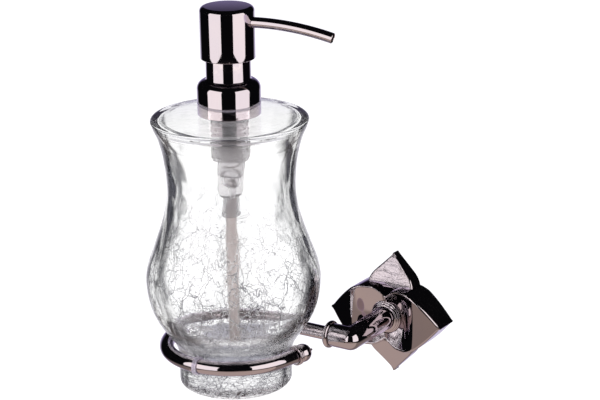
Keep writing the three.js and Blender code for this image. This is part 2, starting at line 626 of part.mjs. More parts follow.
// The spring's wire follows a helix about Z.
class Helix extends THREE.Curve {
  getPoint(share, target = new THREE.Vector3()) {
    const angle = 2 * Math.PI * SPRING_TURNS * share;
    const low = SPRING_BOTTOM + SPRING_WIRE;
    const high = SPRING_TOP - SPRING_WIRE;
    return target.set(SPRING_RADIUS * Math.cos(angle), SPRING_RADIUS * Math.sin(angle), mix(low, high, share));
  }
}

const pumpSpring = () => tube(new Helix(), SPRING_WIRE, SPRING_TURNS * 9, 4);

// ---------------------------------------------------------------- closure and head
function closureShell() {
  const wall = COLLAR_WALL;
  const inner = NECK_RADIUS - wall;
  return turnedRing([
    [COLLAR_RADIUS - wall, COLLAR_BOTTOM], [COLLAR_RADIUS, COLLAR_BOTTOM],
    ...arc([COLLAR_RADIUS - COLLAR_EDGE, COLLAR_TOP - COLLAR_EDGE], COLLAR_EDGE, 0, 84),
    ...arc([NECK_RADIUS + NECK_FILLET, COLLAR_TOP + NECK_FILLET], NECK_FILLET, -90, -180, 3),
    [NECK_RADIUS, NECK_TOP], [inner, NECK_TOP], [inner, COLLAR_TOP - wall],
    ...arc([COLLAR_RADIUS - COLLAR_EDGE, COLLAR_TOP - COLLAR_EDGE], COLLAR_EDGE - wall, 84, 0),
  ]);
}

function closureNut() {
  const outer = COLLAR_RADIUS - COLLAR_WALL - GAP;
  const bore = THREAD_RADIUS + GAP;
  const ceiling = CYLINDER_TOP + GAP;
  const top = ceiling + 1.2;
  return turnedRing([
    [INSERT_FLANGE_RADIUS + GAP, COLLAR_BOTTOM + 0.4], [outer, COLLAR_BOTTOM + 0.4], [outer, COLLAR_TOP - COLLAR_EDGE],
    [outer - 2.2, top], [LOCK_RING_RADIUS + GAP, top], [LOCK_RING_RADIUS + GAP, ceiling], [bore, ceiling],
    [bore, TOP_OF_GLASS + 2 * GAP + INSERT_FLANGE_THICKNESS],
    [INSERT_FLANGE_RADIUS + GAP, TOP_OF_GLASS + 2 * GAP + INSERT_FLANGE_THICKNESS],
  ]);
}

const SPOUT_DIRECTION = new THREE.Vector3(Math.cos(radians(SPOUT_ANGLE)), Math.sin(radians(SPOUT_ANGLE)), 0);
const onSpout = (reach, drop = 0) =>
  SPOUT_DIRECTION.clone().multiplyScalar(reach).add(new THREE.Vector3(0, 0, SPOUT_HEIGHT - drop));
const spoutHole = (radius) => aimed(rod(radius, 0, HEAD_RADIUS + 2), onSpout(0), SPOUT_DIRECTION);

function headShell() {
  const wall = HEAD_WALL;
  const edge = [HEAD_RADIUS - HEAD_EDGE, HEAD_TOP - HEAD_EDGE];
  const shell = turned([
    [HEAD_RADIUS - wall, HEAD_BOTTOM], [HEAD_RADIUS, HEAD_BOTTOM], ...arc(edge, HEAD_EDGE, 0, 90), [0, HEAD_TOP],
    [0, HEAD_TOP - wall], ...arc(edge, HEAD_EDGE - wall, 90, 0), [HEAD_RADIUS - wall, HEAD_BOTTOM],
  ]);
  return cut(shell, spoutHole(SPOUT_RADIUS + GAP));
}

function actuatorCore() {
  const outer = HEAD_RADIUS - HEAD_WALL - GAP;
  const neck = STEM_RADIUS + 2.6;
  const body = turned([
    [0, NECK_TOP - 1], [neck, NECK_TOP - 1], [neck, CORE_STEP], [outer, CORE_STEP],
    [outer, CORE_TOP - HEAD_EDGE], [outer - HEAD_EDGE + 0.6, CORE_TOP], [0, CORE_TOP],
  ], 20);
  const stemBore = rod(STEM_RADIUS + GAP, NECK_TOP - 2, STEM_TOP + GAP, 16);
  const channel = rod(STEM_BORE, STEM_TOP - 1, SPOUT_HEIGHT, 12);
  return cut(body, stemBore, channel, spoutHole(SPOUT_RADIUS + GAP));
}

function spoutTube() {
  const path = new THREE.CurvePath();
  path.add(new THREE.LineCurve3(onSpout(SPOUT_START), onSpout(SPOUT_STRAIGHT)));
  path.add(new THREE.QuadraticBezierCurve3(
    onSpout(SPOUT_STRAIGHT), onSpout(mix(SPOUT_STRAIGHT, SPOUT_REACH, 0.5)), onSpout(SPOUT_REACH, SPOUT_DROP)));
  return tube(path, SPOUT_RADIUS, 12, 12, SPOUT_BORE);
}

// ---------------------------------------------------------------- assembly
const bracket = new THREE.Group();
object.add(bracket);
add(bracket, 'wall_plate', wallPlate(), STEEL);
add(bracket, 'rosette', rosette(), DARK_CHROME);
add(bracket, 'rosette_grub_screw', grubScrew(), STEEL);
add(bracket, 'arm_fixing_screw', armScrew(), STEEL);
add(bracket, 'arm_flange', armFlange(), DARK_CHROME);
add(bracket, 'elbow_arm', elbowArm(), DARK_CHROME);
add(bracket, 'elbow_bead', elbowBead(), DARK_CHROME);
add(bracket, 'holder_ring', holderRing(), DARK_CHROME);
add(bracket, 'finial_collar', finialCollar(), DARK_CHROME);
add(bracket, 'finial_ball', finialBall(), DARK_CHROME);
CUSHION_ANGLES.forEach((angle, index) => add(bracket, `ring_cushion_${index + 1}`, cushion(angle), SILICONE));

// The bottle and everything in it share the ring's axis.
const bottle = new THREE.Group();
bottle.position.set(RING_CENTRE.x, RING_CENTRE.y, -FOOT_DROP);
object.add(bottle);
add(bottle, 'glass_bottle', glassBottle(), GLASS);
add(bottle, 'neck_insert', neckInsert(), CLEAR_PLASTIC);
add(bottle, 'sealing_gasket', gasket(), WHITE_PLASTIC);
add(bottle, 'pump_cylinder', pumpCylinder(), CLEAR_PLASTIC);
add(bottle, 'check_ball', new THREE.SphereGeometry(CHECK_BALL_RADIUS, 12, 8).rotateX(Math.PI / 2)
  .translate(0, 0, BALL_CENTRE), STEEL);
add(bottle, 'dip_tube', dipTube(), CLEAR_PLASTIC);
add(bottle, 'stem_lock_ring', lockRing(), WHITE_PLASTIC);
add(bottle, 'piston_seal', pistonSeal(), WHITE_PLASTIC);
add(bottle, 'plunger_stem', plungerStem(), WHITE_PLASTIC);
add(bottle, 'return_spring', pumpSpring(), STEEL);
add(bottle, 'closure_nut', closureNut(), WHITE_PLASTIC);
add(bottle, 'closure_shell', closureShell(), DARK_CHROME);
add(bottle, 'actuator_core', actuatorCore(), WHITE_PLASTIC);
add(bottle, 'head_shell', headShell(), DARK_CHROME);
add(bottle, 'spout_tube', spoutTube(), DARK_CHROME);

export default object;
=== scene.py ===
"""Wall mounted soap dispenser: the smooth visible pieces and their finishes.

Metres, +Z up. The wall is the plane y = 0 and the dispenser stands out along -Y. Outlines are
lists of (radius, height) in millimetres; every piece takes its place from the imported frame.
"""
from math import asin, cos, degrees, pi, radians, sin, sqrt

import bmesh
import bpy
from mathutils import Matrix, Vector, noise


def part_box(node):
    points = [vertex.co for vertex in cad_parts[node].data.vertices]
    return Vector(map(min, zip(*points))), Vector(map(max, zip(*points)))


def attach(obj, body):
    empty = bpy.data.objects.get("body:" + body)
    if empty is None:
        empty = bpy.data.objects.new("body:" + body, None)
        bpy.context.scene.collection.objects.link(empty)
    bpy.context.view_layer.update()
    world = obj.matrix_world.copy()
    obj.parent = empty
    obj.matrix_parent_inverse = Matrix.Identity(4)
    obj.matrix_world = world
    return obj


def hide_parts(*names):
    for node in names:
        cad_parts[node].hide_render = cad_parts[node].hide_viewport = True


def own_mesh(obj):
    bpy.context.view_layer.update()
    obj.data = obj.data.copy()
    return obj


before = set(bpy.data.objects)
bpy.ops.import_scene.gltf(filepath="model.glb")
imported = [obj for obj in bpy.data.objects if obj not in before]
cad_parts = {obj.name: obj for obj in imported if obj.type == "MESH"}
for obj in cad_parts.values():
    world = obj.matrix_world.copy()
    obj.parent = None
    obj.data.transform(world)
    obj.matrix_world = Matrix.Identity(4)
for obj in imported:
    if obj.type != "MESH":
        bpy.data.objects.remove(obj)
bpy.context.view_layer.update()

MM = 0.001
UP = Vector((0, 0, 1))
ORIGIN = Vector((0, 0, 0))
GAP = 0.3                      # clearance between neighbouring pieces, mm

# -------- places taken from the frame


def corners(node):
    """The lowest and highest corner of a CAD node, in millimetres."""
    low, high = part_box(node)
    return Vector(low) / MM, Vector(high) / MM


glass_low, glass_high = corners("glass_bottle")
ring_low, _ = corners("holder_ring")
arm_low, _ = corners("elbow_arm")
rosette_low, rosette_high = corners("rosette")
cylinder_low, cylinder_high = corners("pump_cylinder")
insert_low, insert_high = corners("neck_insert")
closure_low, closure_high = corners("closure_shell")
head_low, head_high = corners("head_shell")
dip_low, dip_high = corners("dip_tube")
spring_low, spring_high = corners("return_spring")

BOTTLE_AXIS = Vector(((glass_low.x + glass_high.x) / 2, (glass_low.y + glass_high.y) / 2, 0))
FOOT_BOTTOM = glass_low.z
BOTTLE_PLACE = BOTTLE_AXIS + UP * FOOT_BOTTOM
TOP_OF_GLASS = glass_high.z - FOOT_BOTTOM


def above_foot(height):
    """A height in the frame, measured from the bottom of the bottle's foot instead."""
    return height - FOOT_BOTTOM


# -------- mesh helpers
ROUND_SIDES = 128
SMALL_SIDES = 64
ARC_STEPS = 8
SOFT_ANGLE = 38                # degrees; sharper edges of the hidden pieces are bevelled


def arc(centre, radius, start, end, steps=ARC_STEPS):
    """Points on an arc about (radius, height), from one angle to another in degrees."""
    points = []
    for step in range(steps + 1):
        angle = radians(start + (end - start) * step / steps)
        points.append((centre[0] + radius * cos(angle), centre[1] + radius * sin(angle)))
    return points


def smooth(points, steps):
    """A Catmull-Rom curve through a few (radius, height) points."""
    curve = []
    last = len(points) - 1
    for step in range(steps + 1):
        reach = step / steps * last
        index = min(int(reach), last - 1)
        share = reach - index
        before = points[max(index - 1, 0)]
        after = points[min(index + 2, last)]
        start, end = points[index], points[index + 1]
        place = []
        for axis in (0, 1):
            leave = (end[axis] - before[axis]) / 2
            arrive = (after[axis] - start[axis]) / 2
            place.append(
                (2 * start[axis] - 2 * end[axis] + leave + arrive) * share ** 3
                + (3 * end[axis] - 3 * start[axis] - 2 * leave - arrive) * share ** 2
                + leave * share + start[axis])
        curve.append(tuple(place))
    return curve


def leaning(start, middle, end, share):
    """A point on the smooth curve from start to end that leans towards a middle point."""
    return start.lerp(middle, share).lerp(middle.lerp(end, share), share)


def filleted(square_corners, steps=5):
    """A closed outline whose square corners (radius, height, fillet) are rounded off."""
    rounded = []
    places = [Vector(corner[:2]) for corner in square_corners]
    for index, here in enumerate(places):
        fillet = square_corners[index][2]
        start = here + (places[index - 1] - here).normalized() * fillet
        end = here + (places[(index + 1) % len(places)] - here).normalized() * fillet
        rounded += [tuple(leaning(start, here, end, step / steps)) for step in range(steps + 1)]
    return rounded


def dress(mesh, finish, sharp_angle):
    """Shades a mesh smooth up to an angle, and gives it one finish."""
    for face in mesh.polygons:
        face.use_smooth = True
    mesh.set_sharp_from_angle(angle=radians(sharp_angle))
    mesh.materials.clear()
    if finish is not None:
        mesh.materials.append(finish)


def finish_mesh(name, shell, place, direction, finish, sharp_angle=40):
    """Makes the object, set down at a place in millimetres with its own Z along a direction."""
    mesh = bpy.data.meshes.new(name)
    shell.to_mesh(mesh)
    shell.free()
    dress(mesh, finish, sharp_angle)
    piece = bpy.data.objects.new(name, mesh)
    bpy.context.scene.collection.objects.link(piece)
    turn = UP.rotation_difference(Vector(direction).normalized()).to_matrix().to_4x4()
    piece.matrix_world = Matrix.Translation(Vector(place) * MM) @ turn
    return piece


def closed_shell(rings, loops_back):
    """Joins rings of points into a closed skin. A ring of one point is a pole."""
    shell = bmesh.new()
    made = [[shell.verts.new(Vector(point) * MM) for point in ring] for ring in rings]
    pairs = list(zip(made, made[1:] + made[:1])) if loops_back else list(zip(made, made[1:]))
    for low, high in pairs:
        count = max(len(low), len(high))
        for side in range(count):
            beyond = (side + 1) % count
            if len(low) == 1 and len(high) == 1:
                break
            if len(low) == 1:
                shell.faces.new((low[0], high[beyond], high[side]))
            elif len(high) == 1:
                shell.faces.new((low[side], low[beyond], high[0]))
            else:
                shell.faces.new((low[side], low[beyond], high[beyond], high[side]))
    if not loops_back:
        for ring in (made[0], made[-1]):
            if len(ring) > 1:
                shell.faces.new(ring)
    bmesh.ops.recalc_face_normals(shell, faces=shell.faces)
    return shell


def turned(name, outline, place, finish, direction=UP, sides=ROUND_SIDES, waver=None, sharp=40):
    """A piece turned about its own Z. waver(angle, radius, height) may shift the radius."""
    on_axis = outline[0][0] <= 0 and outline[-1][0] <= 0
    rings = []
    for radius, height in outline:
        if radius <= 0:
            rings.append([(0, 0, height)])
            continue
        ring = []
        for side in range(sides):
            angle = 2 * pi * side / sides
            reach = radius + (waver(angle, radius, height) if waver else 0)
            ring.append((reach * cos(angle), reach * sin(angle), height))
        rings.append(ring)
    return finish_mesh(name, closed_shell(rings, not on_axis), place, direction, finish, sharp)


def lofted(name, stations, finish, loops_back=False, sides=SMALL_SIDES, place=ORIGIN, sharp=40):
    """A skin over round stations (centre, direction, radius), in millimetres."""
    rings = []
    across = None
    for centre, direction, radius in stations:
        direction = Vector(direction).normalized()
        if across is None:
            helper = UP if abs(direction.z) < 0.9 else Vector((1, 0, 0))
            across = direction.cross(helper).normalized()
        across = (across - direction * across.dot(direction)).normalized()
        beside = direction.cross(across)
        ring = []
        for side in range(sides):
            angle = 2 * pi * side / sides
            ring.append(Vector(centre) - Vector(place)
                        + (across * cos(angle) + beside * sin(angle)) * radius)
        rings.append(ring)
    return finish_mesh(name, closed_shell(rings, loops_back), place, UP, finish, sharp)


def refined(node, finish, bevel=0.15):
    """A copy of a CAD node with welded points, softened edges and smooth shading."""
    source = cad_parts[node]
    copy = bmesh.new()
    copy.from_mesh(source.data)
    bmesh.ops.remove_doubles(copy, verts=copy.verts, dist=0.002 * MM)
    piece = finish_mesh(f"{node}_smooth", copy, ORIGIN, UP, finish, SOFT_ANGLE)
    softened = piece.modifiers.new("soft edges", "BEVEL")
    softened.width = bevel * MM
    softened.segments = 2
    softened.limit_method = "ANGLE"
    softened.angle_limit = radians(SOFT_ANGLE)
    softened.harden_normals = True
    return piece


def settle(piece, body, slot, *nodes):
    """Rides a piece on its body and hides the CAD nodes it stands for; the slot is not used."""
    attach(piece, body)
    if nodes:
        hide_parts(*nodes)


# -------- node helpers


def put(tree, kind, inputs=None, **settings):
    """Adds a shader node; an input given as a socket is linked, and any other value is set."""
    node = tree.nodes.new("ShaderNode" + kind)
    for name, value in settings.items():
        setattr(node, name, value)
    for key, value in (inputs or {}).items():
        if isinstance(value, bpy.types.NodeSocket):
            tree.links.new(value, node.inputs[key])
        else:
            node.inputs[key].default_value = value
    return node


def feed(tree, node, **sockets):
    """Links sockets to a node's inputs, whose names are written with _ for a space."""
    for name, socket in sockets.items():
        tree.links.new(socket, node.inputs[name.replace("_", " ")])


def maths(tree, operation, first, second=0.0, clamp=False):
    """One step of arithmetic."""
    return put(tree, "Math", {0: first, 1: second}, operation=operation, use_clamp=clamp).outputs[0]


def times(tree, first, second, clamp=False):
    """One value times another."""
    return maths(tree, "MULTIPLY", first, second, clamp)


def layered(tree, base, *layers):
    """A base value plus each (mask, weight) layer."""
    total = base
    for mask, weight in layers:
        total = maths(tree, "ADD", total, times(tree, mask, weight))
    return total


def vector_maths(tree, operation, inputs, output="Vector"):
    """One step of arithmetic on vectors."""
    return put(tree, "VectorMath", inputs, operation=operation).outputs[output]


def upward_part(tree, vector):
    """How far a vector points up."""
    return put(tree, "SeparateXYZ", {0: vector}).outputs["Z"]


def stretched(tree, vector, rise):
    """A pattern's coordinates with their height scaled."""
    return put(tree, "Mapping", {"Vector": vector, "Scale": (1.0, 1.0, rise)}).outputs[0]


def ramped(tree, value, low, high, to_low=0.0, to_high=1.0):
    """Maps a value from low..high to to_low..to_high along a smooth step."""
    limits = {"Value": value, "From Min": low, "From Max": high, "To Min": to_low, "To Max": to_high}
    return put(tree, "MapRange", limits, interpolation_type="SMOOTHSTEP").outputs[0]


def blended(tree, share, first, second):
    """Mixes two colours by a share."""
    return put(tree, "Mix", {0: share, 6: first, 7: second}, data_type="RGBA").outputs[2]


def noisy(tree, vector, scale, detail=3.0, roughness=0.5, distortion=0.0, output="Fac"):
    """Soft noise at a scale."""
    node = put(tree, "TexNoise", {"Vector": vector, "Scale": scale, "Detail": detail,
                                  "Roughness": roughness, "Distortion": distortion})
    return node.outputs[output]


def bumped(tree, height, strength, distance, invert=False):
    """A normal tilted by a height."""
    inputs = {"Height": height, "Strength": strength, "Distance": distance}
    return put(tree, "Bump", inputs, invert=invert).outputs[0]


def new_group(name, values, *outputs):
    """A node group: a Vector and named values go in, named masks or heights come out."""
    tree = bpy.data.node_groups.new(name, "ShaderNodeTree")
    tree.interface.new_socket(name="Vector", in_out="INPUT", socket_type="NodeSocketVector")
    for socket, value in values.items():
        made = tree.interface.new_socket(name=socket, in_out="INPUT", socket_type="NodeSocketFloat")
        made.default_value = value
    for socket in outputs:
        tree.interface.new_socket(name=socket, in_out="OUTPUT", socket_type="NodeSocketFloat")
    return tree, tree.nodes.new("NodeGroupInput").outputs, tree.nodes.new("NodeGroupOutput")


def effect(tree, group, place, **values):
    """Places a shared effect in a material with the material's own values."""
    named = {name.replace("_", " "): value for name, value in values.items()}
    return put(tree, "Group", {"Vector": place, **named}, node_tree=group).outputs


# -------- shared effects


def edge_wear_group():
    """Where handling rubs a finish thin: convex edges, broken up by noise."""
    tree, given, result = new_group("Edge wear", {"Amount": 0.6, "Break Up": 350.0}, "Mask")
    edges = ramped(tree, put(tree, "NewGeometry").outputs["Pointiness"], 0.515, 0.60)
    patches = noisy(tree, given["Vector"], given["Break Up"], 4.0, 0.6)
    worn = times(tree, edges, ramped(tree, patches, 0.42, 0.62))
    feed(tree, result, Mask=times(tree, worn, given["Amount"], True))
    return tree


def smudge_group():
    """Faint films left by wet hands: soft clouds with thin drying rims."""
    tree, given, result = new_group("Wet hand smudges", {"Scale": 60.0, "Amount": 1.0}, "Mask")
    clouds = noisy(tree, given["Vector"], given["Scale"], 3.0, 0.55, 0.4)
    film = ramped(tree, clouds, 0.46, 0.70)
    from_middle = maths(tree, "ABSOLUTE", maths(tree, "SUBTRACT", clouds, 0.5))
    drying = ramped(tree, maths(tree, "SUBTRACT", 1.0, from_middle), 0.985, 1.0, 0.0, 0.5)
    both = maths(tree, "MAXIMUM", film, drying)
    feed(tree, result, Mask=times(tree, both, given["Amount"], True))
    return tree


def polishing_group():
    """Hairlines of a polishing wheel, running round the piece's own Z."""
    tree, given, result = new_group(
        "Polishing hairlines", {"Fineness": 9000.0, "Depth": 1.0}, "Height", "Mask")
    parts = put(tree, "SeparateXYZ", {0: given["Vector"]}).outputs
    drawn_out = {"X": times(tree, parts["X"], 0.04), "Y": times(tree, parts["Y"], 0.04), "Z": parts["Z"]}
    lines = noisy(tree, put(tree, "CombineXYZ", drawn_out).outputs[0], given["Fineness"], 2.0, 0.7)
    scattered = noisy(tree, given["Vector"], 130.0, 2.0)
    mask = times(tree, ramped(tree, lines, 0.60, 0.72), ramped(tree, scattered, 0.45, 0.65))
    feed(tree, result, Height=times(tree, mask, given["Depth"]), Mask=mask)
    return tree


def dust_group():
    """Fine dust that settles on faces that look up."""
    tree, given, result = new_group("Settled dust", {"Amount": 0.3, "Scale": 900.0}, "Mask")
    upward = ramped(tree, upward_part(tree, put(tree, "NewGeometry").outputs["Normal"]), 0.6, 1.0)
    grains = ramped(tree, noisy(tree, given["Vector"], given["Scale"], 2.0), 0.55, 0.75)
    feed(tree, result, Mask=times(tree, times(tree, upward, grains), given["Amount"], True))
    return tree


def crackle_group():
    """A net of cracks: cell walls bent by noise, partly healed, of one cell size."""
    tree, given, result = new_group(
        "Crackle", {"Cell Size": 0.008, "Line Width": 0.0002, "Drift": 0.003, "Healed": 0.45}, "Line")
    vector = given["Vector"]
    per_cell = maths(tree, "DIVIDE", 1.0, given["Cell Size"])
    bend = noisy(tree, vector, 160.0, 3.0, 0.6, 0.0, "Color")
    centred = vector_maths(tree, "SUBTRACT", {0: bend, 1: (0.5, 0.5, 0.5)})
    shift = vector_maths(tree, "SCALE", {0: centred, "Scale": given["Drift"]})
    place = vector_maths(tree, "ADD", {0: vector, 1: shift})
    cells = put(tree, "TexVoronoi", {"Vector": place, "Scale": per_cell, "Randomness": 1.0},
                feature="DISTANCE_TO_EDGE")
    metres = times(tree, cells.outputs["Distance"], given["Cell Size"])
    line = ramped(tree, maths(tree, "DIVIDE", metres, given["Line Width"]), 0.3, 1.2, 1.0, 0.0)
    healing = noisy(tree, vector, times(tree, per_cell, 0.9), 2.0, 0.6)
    kept = ramped(tree, healing, given["Healed"], maths(tree, "ADD", given["Healed"], 0.12))
    feed(tree, result, Line=times(tree, line, kept))
    return tree


def moulded_group():
    """The skin of a moulded plastic: fine grain and faint flow marks."""
    tree, given, result = new_group("Moulded skin", {"Grain": 2500.0, "Flow": 90.0}, "Height", "Tint")
    grain = noisy(tree, given["Vector"], given["Grain"], 2.0)
    flow = noisy(tree, given["Vector"], given["Flow"], 3.0, 0.5, 1.2)
    feed(tree, result, Height=layered(tree, flow, (grain, 0.5)), Tint=ramped(tree, flow, 0.35, 0.7))
    return tree


EDGE_WEAR = edge_wear_group()
SMUDGES = smudge_group()
HAIRLINES = polishing_group()
DUST = dust_group()
CRACKLE = crackle_group()
MOULDED = moulded_group()

# -------- finishes
NICKEL = (0.50, 0.455, 0.475, 1)
ROSY_NICKEL = (0.53, 0.475, 0.48, 1)
RUBBED_NICKEL = (0.74, 0.66, 0.60, 1)
DUST_ON_METAL = (0.42, 0.40, 0.42, 1)
DUST_ON_PLASTIC = (0.6, 0.59, 0.57, 1)
STEEL = (0.62, 0.61, 0.60, 1)
FINGERED_STEEL = (0.52, 0.51, 0.50, 1)
RUBBED_STEEL = (0.80, 0.79, 0.77, 1)
CLEAR_GLASS = (0.992, 0.993, 0.995, 1)
PAINTED_GLASS_EDGE_SHADE = (0.008, 0.008, 0.011, 1)     # painted shade: near-black streaks painted where the wall is seen on edge, in place of dark surroundings refracted there
CRACK = (0.10, 0.10, 0.12, 1)
THICK_GLASS = (0.50, 0.51, 0.56, 1)          # what the volume lets through
# heights above the foot, in metres, between which the cracks and the foot's dense net fade out
CRACKS_FULL = 0.062
CRACKS_START = 0.106
DENSE_NET_FULL = 0.022
DENSE_NET_TOP = 0.036


def new_finish(name, **constants):
    """A material with its Principled shader, object coordinates and shader constants set."""
    material = bpy.data.materials.new(name)
    material.use_nodes = True
    tree = material.node_tree
    shader = tree.nodes["Principled BSDF"]
    for socket, value in constants.items():
        shader.inputs[socket.replace("_", " ")].default_value = value
    return material, tree, shader, put(tree, "TexCoord").outputs["Object"]


def dark_chrome():
    """Black nickel over polished brass: a dark mirror with a rosy cast."""
    material, tree, shader, place = new_finish(
        "Dark chrome", Metallic=1.0, Specular_Tint=(0.86, 0.82, 1.0, 1.0))
    wear = effect(tree, EDGE_WEAR, place, Amount=0.5, Break_Up=500.0)["Mask"]
    film = effect(tree, SMUDGES, place, Scale=70.0, Amount=1.0)["Mask"]
    lines = effect(tree, HAIRLINES, place, Fineness=7000.0, Depth=1.0)
    dust = effect(tree, DUST, place, Amount=0.12, Scale=1500.0)["Mask"]
    cast = ramped(tree, noisy(tree, place, 45.0, 2.0), 0.3, 0.7)
    rubbed = blended(tree, wear, blended(tree, cast, NICKEL, ROSY_NICKEL), RUBBED_NICKEL)
    rough = layered(tree, 0.025, (film, 0.035), (wear, 0.10), (lines["Mask"], 0.05), (dust, 0.5))
    feed(tree, shader, Base_Color=blended(tree, dust, rubbed, DUST_ON_METAL), Roughness=rough,
         Normal=bumped(tree, lines["Height"], 0.12, 0.00001, True))
    return material


def painted_edge_shade(tree, place):
    """Painted shade: the colour of thick glass seen on edge is darkened on upright walls near grazing, in
    uneven streaks.
    """
    grazing = put(tree, "LayerWeight", {"Blend": 0.5}).outputs["Facing"]
    tilt = maths(tree, "ABSOLUTE", upward_part(tree, put(tree, "NewGeometry").outputs["Normal"]))
    upright = ramped(tree, tilt, 0.45, 0.75, 1.0, 0.0)
    clouds = noisy(tree, stretched(tree, place, 0.3), 75.0, 3.0, 0.6, 0.5)
    streaks = ramped(tree, clouds, 0.38, 0.53, 0.15, 1.0)
    band = times(tree, ramped(tree, grazing, 0.36, 0.54), ramped(tree, grazing, 0.86, 0.98, 1.0, 0.0))
    return times(tree, times(tree, band, upright), streaks)


def crackle_glass():
    """Thick blown glass, clear above and crackled below, with painted shade along its edges."""
    material, tree, shader, place = new_finish(
        "Crackle glass", Transmission_Weight=1.0, IOR=1.5, Metallic=0.0)
    height = upward_part(tree, place)
    patchy = maths(tree, "SUBTRACT", noisy(tree, place, 55.0, 2.0), 0.5)
    zone = ramped(tree, layered(tree, height, (patchy, 0.03)), CRACKS_FULL, CRACKS_START, 1.0, 0.0)
    low = ramped(tree, height, DENSE_NET_FULL, DENSE_NET_TOP, 1.0, 0.0)
    wide = effect(tree, CRACKLE, stretched(tree, place, 0.62),
                  Cell_Size=0.0110, Line_Width=0.00015, Drift=0.006, Healed=0.41)["Line"]
    fine = effect(tree, CRACKLE, place,
                  Cell_Size=0.0055, Line_Width=0.00010, Drift=0.004, Healed=0.47)["Line"]
    net = effect(tree, CRACKLE, place,
                 Cell_Size=0.0026, Line_Width=0.00016, Drift=0.002, Healed=0.42)["Line"]
    body_lines = times(tree, maths(tree, "MAXIMUM", wide, fine), zone)
    lines = maths(tree, "MAXIMUM", body_lines, times(tree, net, low), True)
    # painted shade: the glass's colour turns near black along grazing edges, in place of dark surroundings
    # refracted there
    clear = blended(tree, painted_edge_shade(tree, place), CLEAR_GLASS, PAINTED_GLASS_EDGE_SHADE)
    film = effect(tree, SMUDGES, place, Scale=30.0, Amount=1.0)["Mask"]
    swells = times(tree, noisy(tree, place, 70.0, 2.0, 0.4), 2.0)
    relief = maths(tree, "SUBTRACT", swells, lines)
    feed(tree, shader, Base_Color=blended(tree, lines, clear, CRACK),
         Roughness=layered(tree, 0.0, (lines, 0.10), (film, 0.012)),
         Normal=bumped(tree, relief, 0.5, 0.0002))
    absorbing = put(tree, "VolumeAbsorption", {"Color": THICK_GLASS, "Density": 3.0})
    feed(tree, tree.nodes["Material Output"], Volume=absorbing.outputs[0])
    return material


def plastic(name, pale, deep, roughness, grain, bump_depth, **constants):
    """A moulded plastic: two near tones, grain, a little dust and rubbed edges."""
    material, tree, shader, place = new_finish(name, **constants)
    skin = effect(tree, MOULDED, place, Grain=grain, Flow=110.0)
    wear = effect(tree, EDGE_WEAR, place, Amount=0.35, Break_Up=700.0)["Mask"]
    dust = effect(tree, DUST, place, Amount=0.15, Scale=1200.0)["Mask"]
    rubbed_tone = (*[min(part * 1.1, 0.95) for part in pale[:3]], 1)
    rubbed = blended(tree, wear, blended(tree, skin["Tint"], pale, deep), rubbed_tone)
    feed(tree, shader, Base_Color=blended(tree, dust, rubbed, DUST_ON_PLASTIC),
         Roughness=layered(tree, roughness, (wear, 0.12), (dust, 0.2)),
         Normal=bumped(tree, skin["Height"], 0.4, bump_depth))
    return material


def stainless():
    """Drawn and turned stainless steel."""
    material, tree, shader, place = new_finish("Stainless steel", Metallic=1.0)
    wear = effect(tree, EDGE_WEAR, place, Amount=0.6, Break_Up=600.0)["Mask"]
    lines = effect(tree, HAIRLINES, place, Fineness=5000.0, Depth=1.0)
    film = effect(tree, SMUDGES, place, Scale=120.0, Amount=0.7)["Mask"]
    toned = blended(tree, film, STEEL, FINGERED_STEEL)
    feed(tree, shader, Base_Color=blended(tree, wear, toned, RUBBED_STEEL),
         Roughness=layered(tree, 0.22, (film, 0.12), (lines["Mask"], 0.15)),
         Normal=bumped(tree, lines["Height"], 0.3, 0.00004, True))
    return material


DARK_CHROME = dark_chrome()
CRACKLE_GLASS = crackle_glass()
CLEAR_PLASTIC = plastic("Clear pump plastic", (0.92, 0.91, 0.92, 1), (0.87, 0.86, 0.88, 1), 0.20,
                        2600.0, 0.00003, Transmission_Weight=0.85, IOR=1.45)
TUBE_PLASTIC = plastic("Dip tube plastic", (0.95, 0.88, 0.86, 1), (0.91, 0.84, 0.82, 1), 0.28,
                       3200.0, 0.00002, Transmission_Weight=0.65, IOR=1.45)
WHITE_PLASTIC = plastic("White pump plastic", (0.84, 0.83, 0.81, 1), (0.79, 0.78, 0.76, 1), 0.38,
                        2200.0, 0.00004)
SILICONE = plastic("Cushion silicone", (0.76, 0.71, 0.80, 1), (0.70, 0.65, 0.76, 1), 0.26,
                   1800.0, 0.00004, Transmission_Weight=0.75, IOR=1.41)
STAINLESS = stainless()

# -------- rosette
OUT = Vector((0, -1, 0))
RIGHT = Vector((1, 0, 0))
HALF_DIAGONAL = (rosette_high.x - rosette_low.x) / 2
NOTCH = HALF_DIAGONAL / 2
TIP_FLAT = 0.5
RAISED_CORNER = 14.0
RAISED_NOTCH = 17.8
RAISED_CREST = 14.6            # at the dip above and below the arm
RAISED_CENTRE = 12.0
CREST_DIP = 4.4
CREST_DIP_REACH = 7.5          # half width of that dip
NOTCH_ROUNDING = 1.0
NOTCH_BLEND = 4.0
LOBE_BULGE = 1.0               # how far a lobe's sides swell past straight lines
LOBE_CURL = 1.5                # 1 is a straight slope from notch to corner, more is rounder
LOW_CORNER = 5.0
LOW_NOTCH = 9.2
LOW_BASE = 8.6
LOW_HALF_WIDTH = 13.6
LOW_BLEND = 4.0                # rounding where a low petal's sides turn towards its tip
ROSETTE_EDGE = 1.2             # rounding along the petals' edges
FLANGE_RADIUS = 8.9
PLATE_RADIUS = 14.5
PLATE_THICKNESS = 5.0
CLEAR_OF_PETALS = 40           # past anything that stands off the wall here
ROSETTE_ROWS = 150
PETAL_ROWS = 60
SHARES_ACROSS = 40


def mix(first, second, share):
    """The value a share of the way from one to another."""
    return first + (second - first) * share


def ease(value, low, high):
    """0 below low, 1 above high and a smooth step between."""
    share = max(0.0, min(1.0, (value - low) / (high - low)))
    return share * share * (3 - 2 * share)


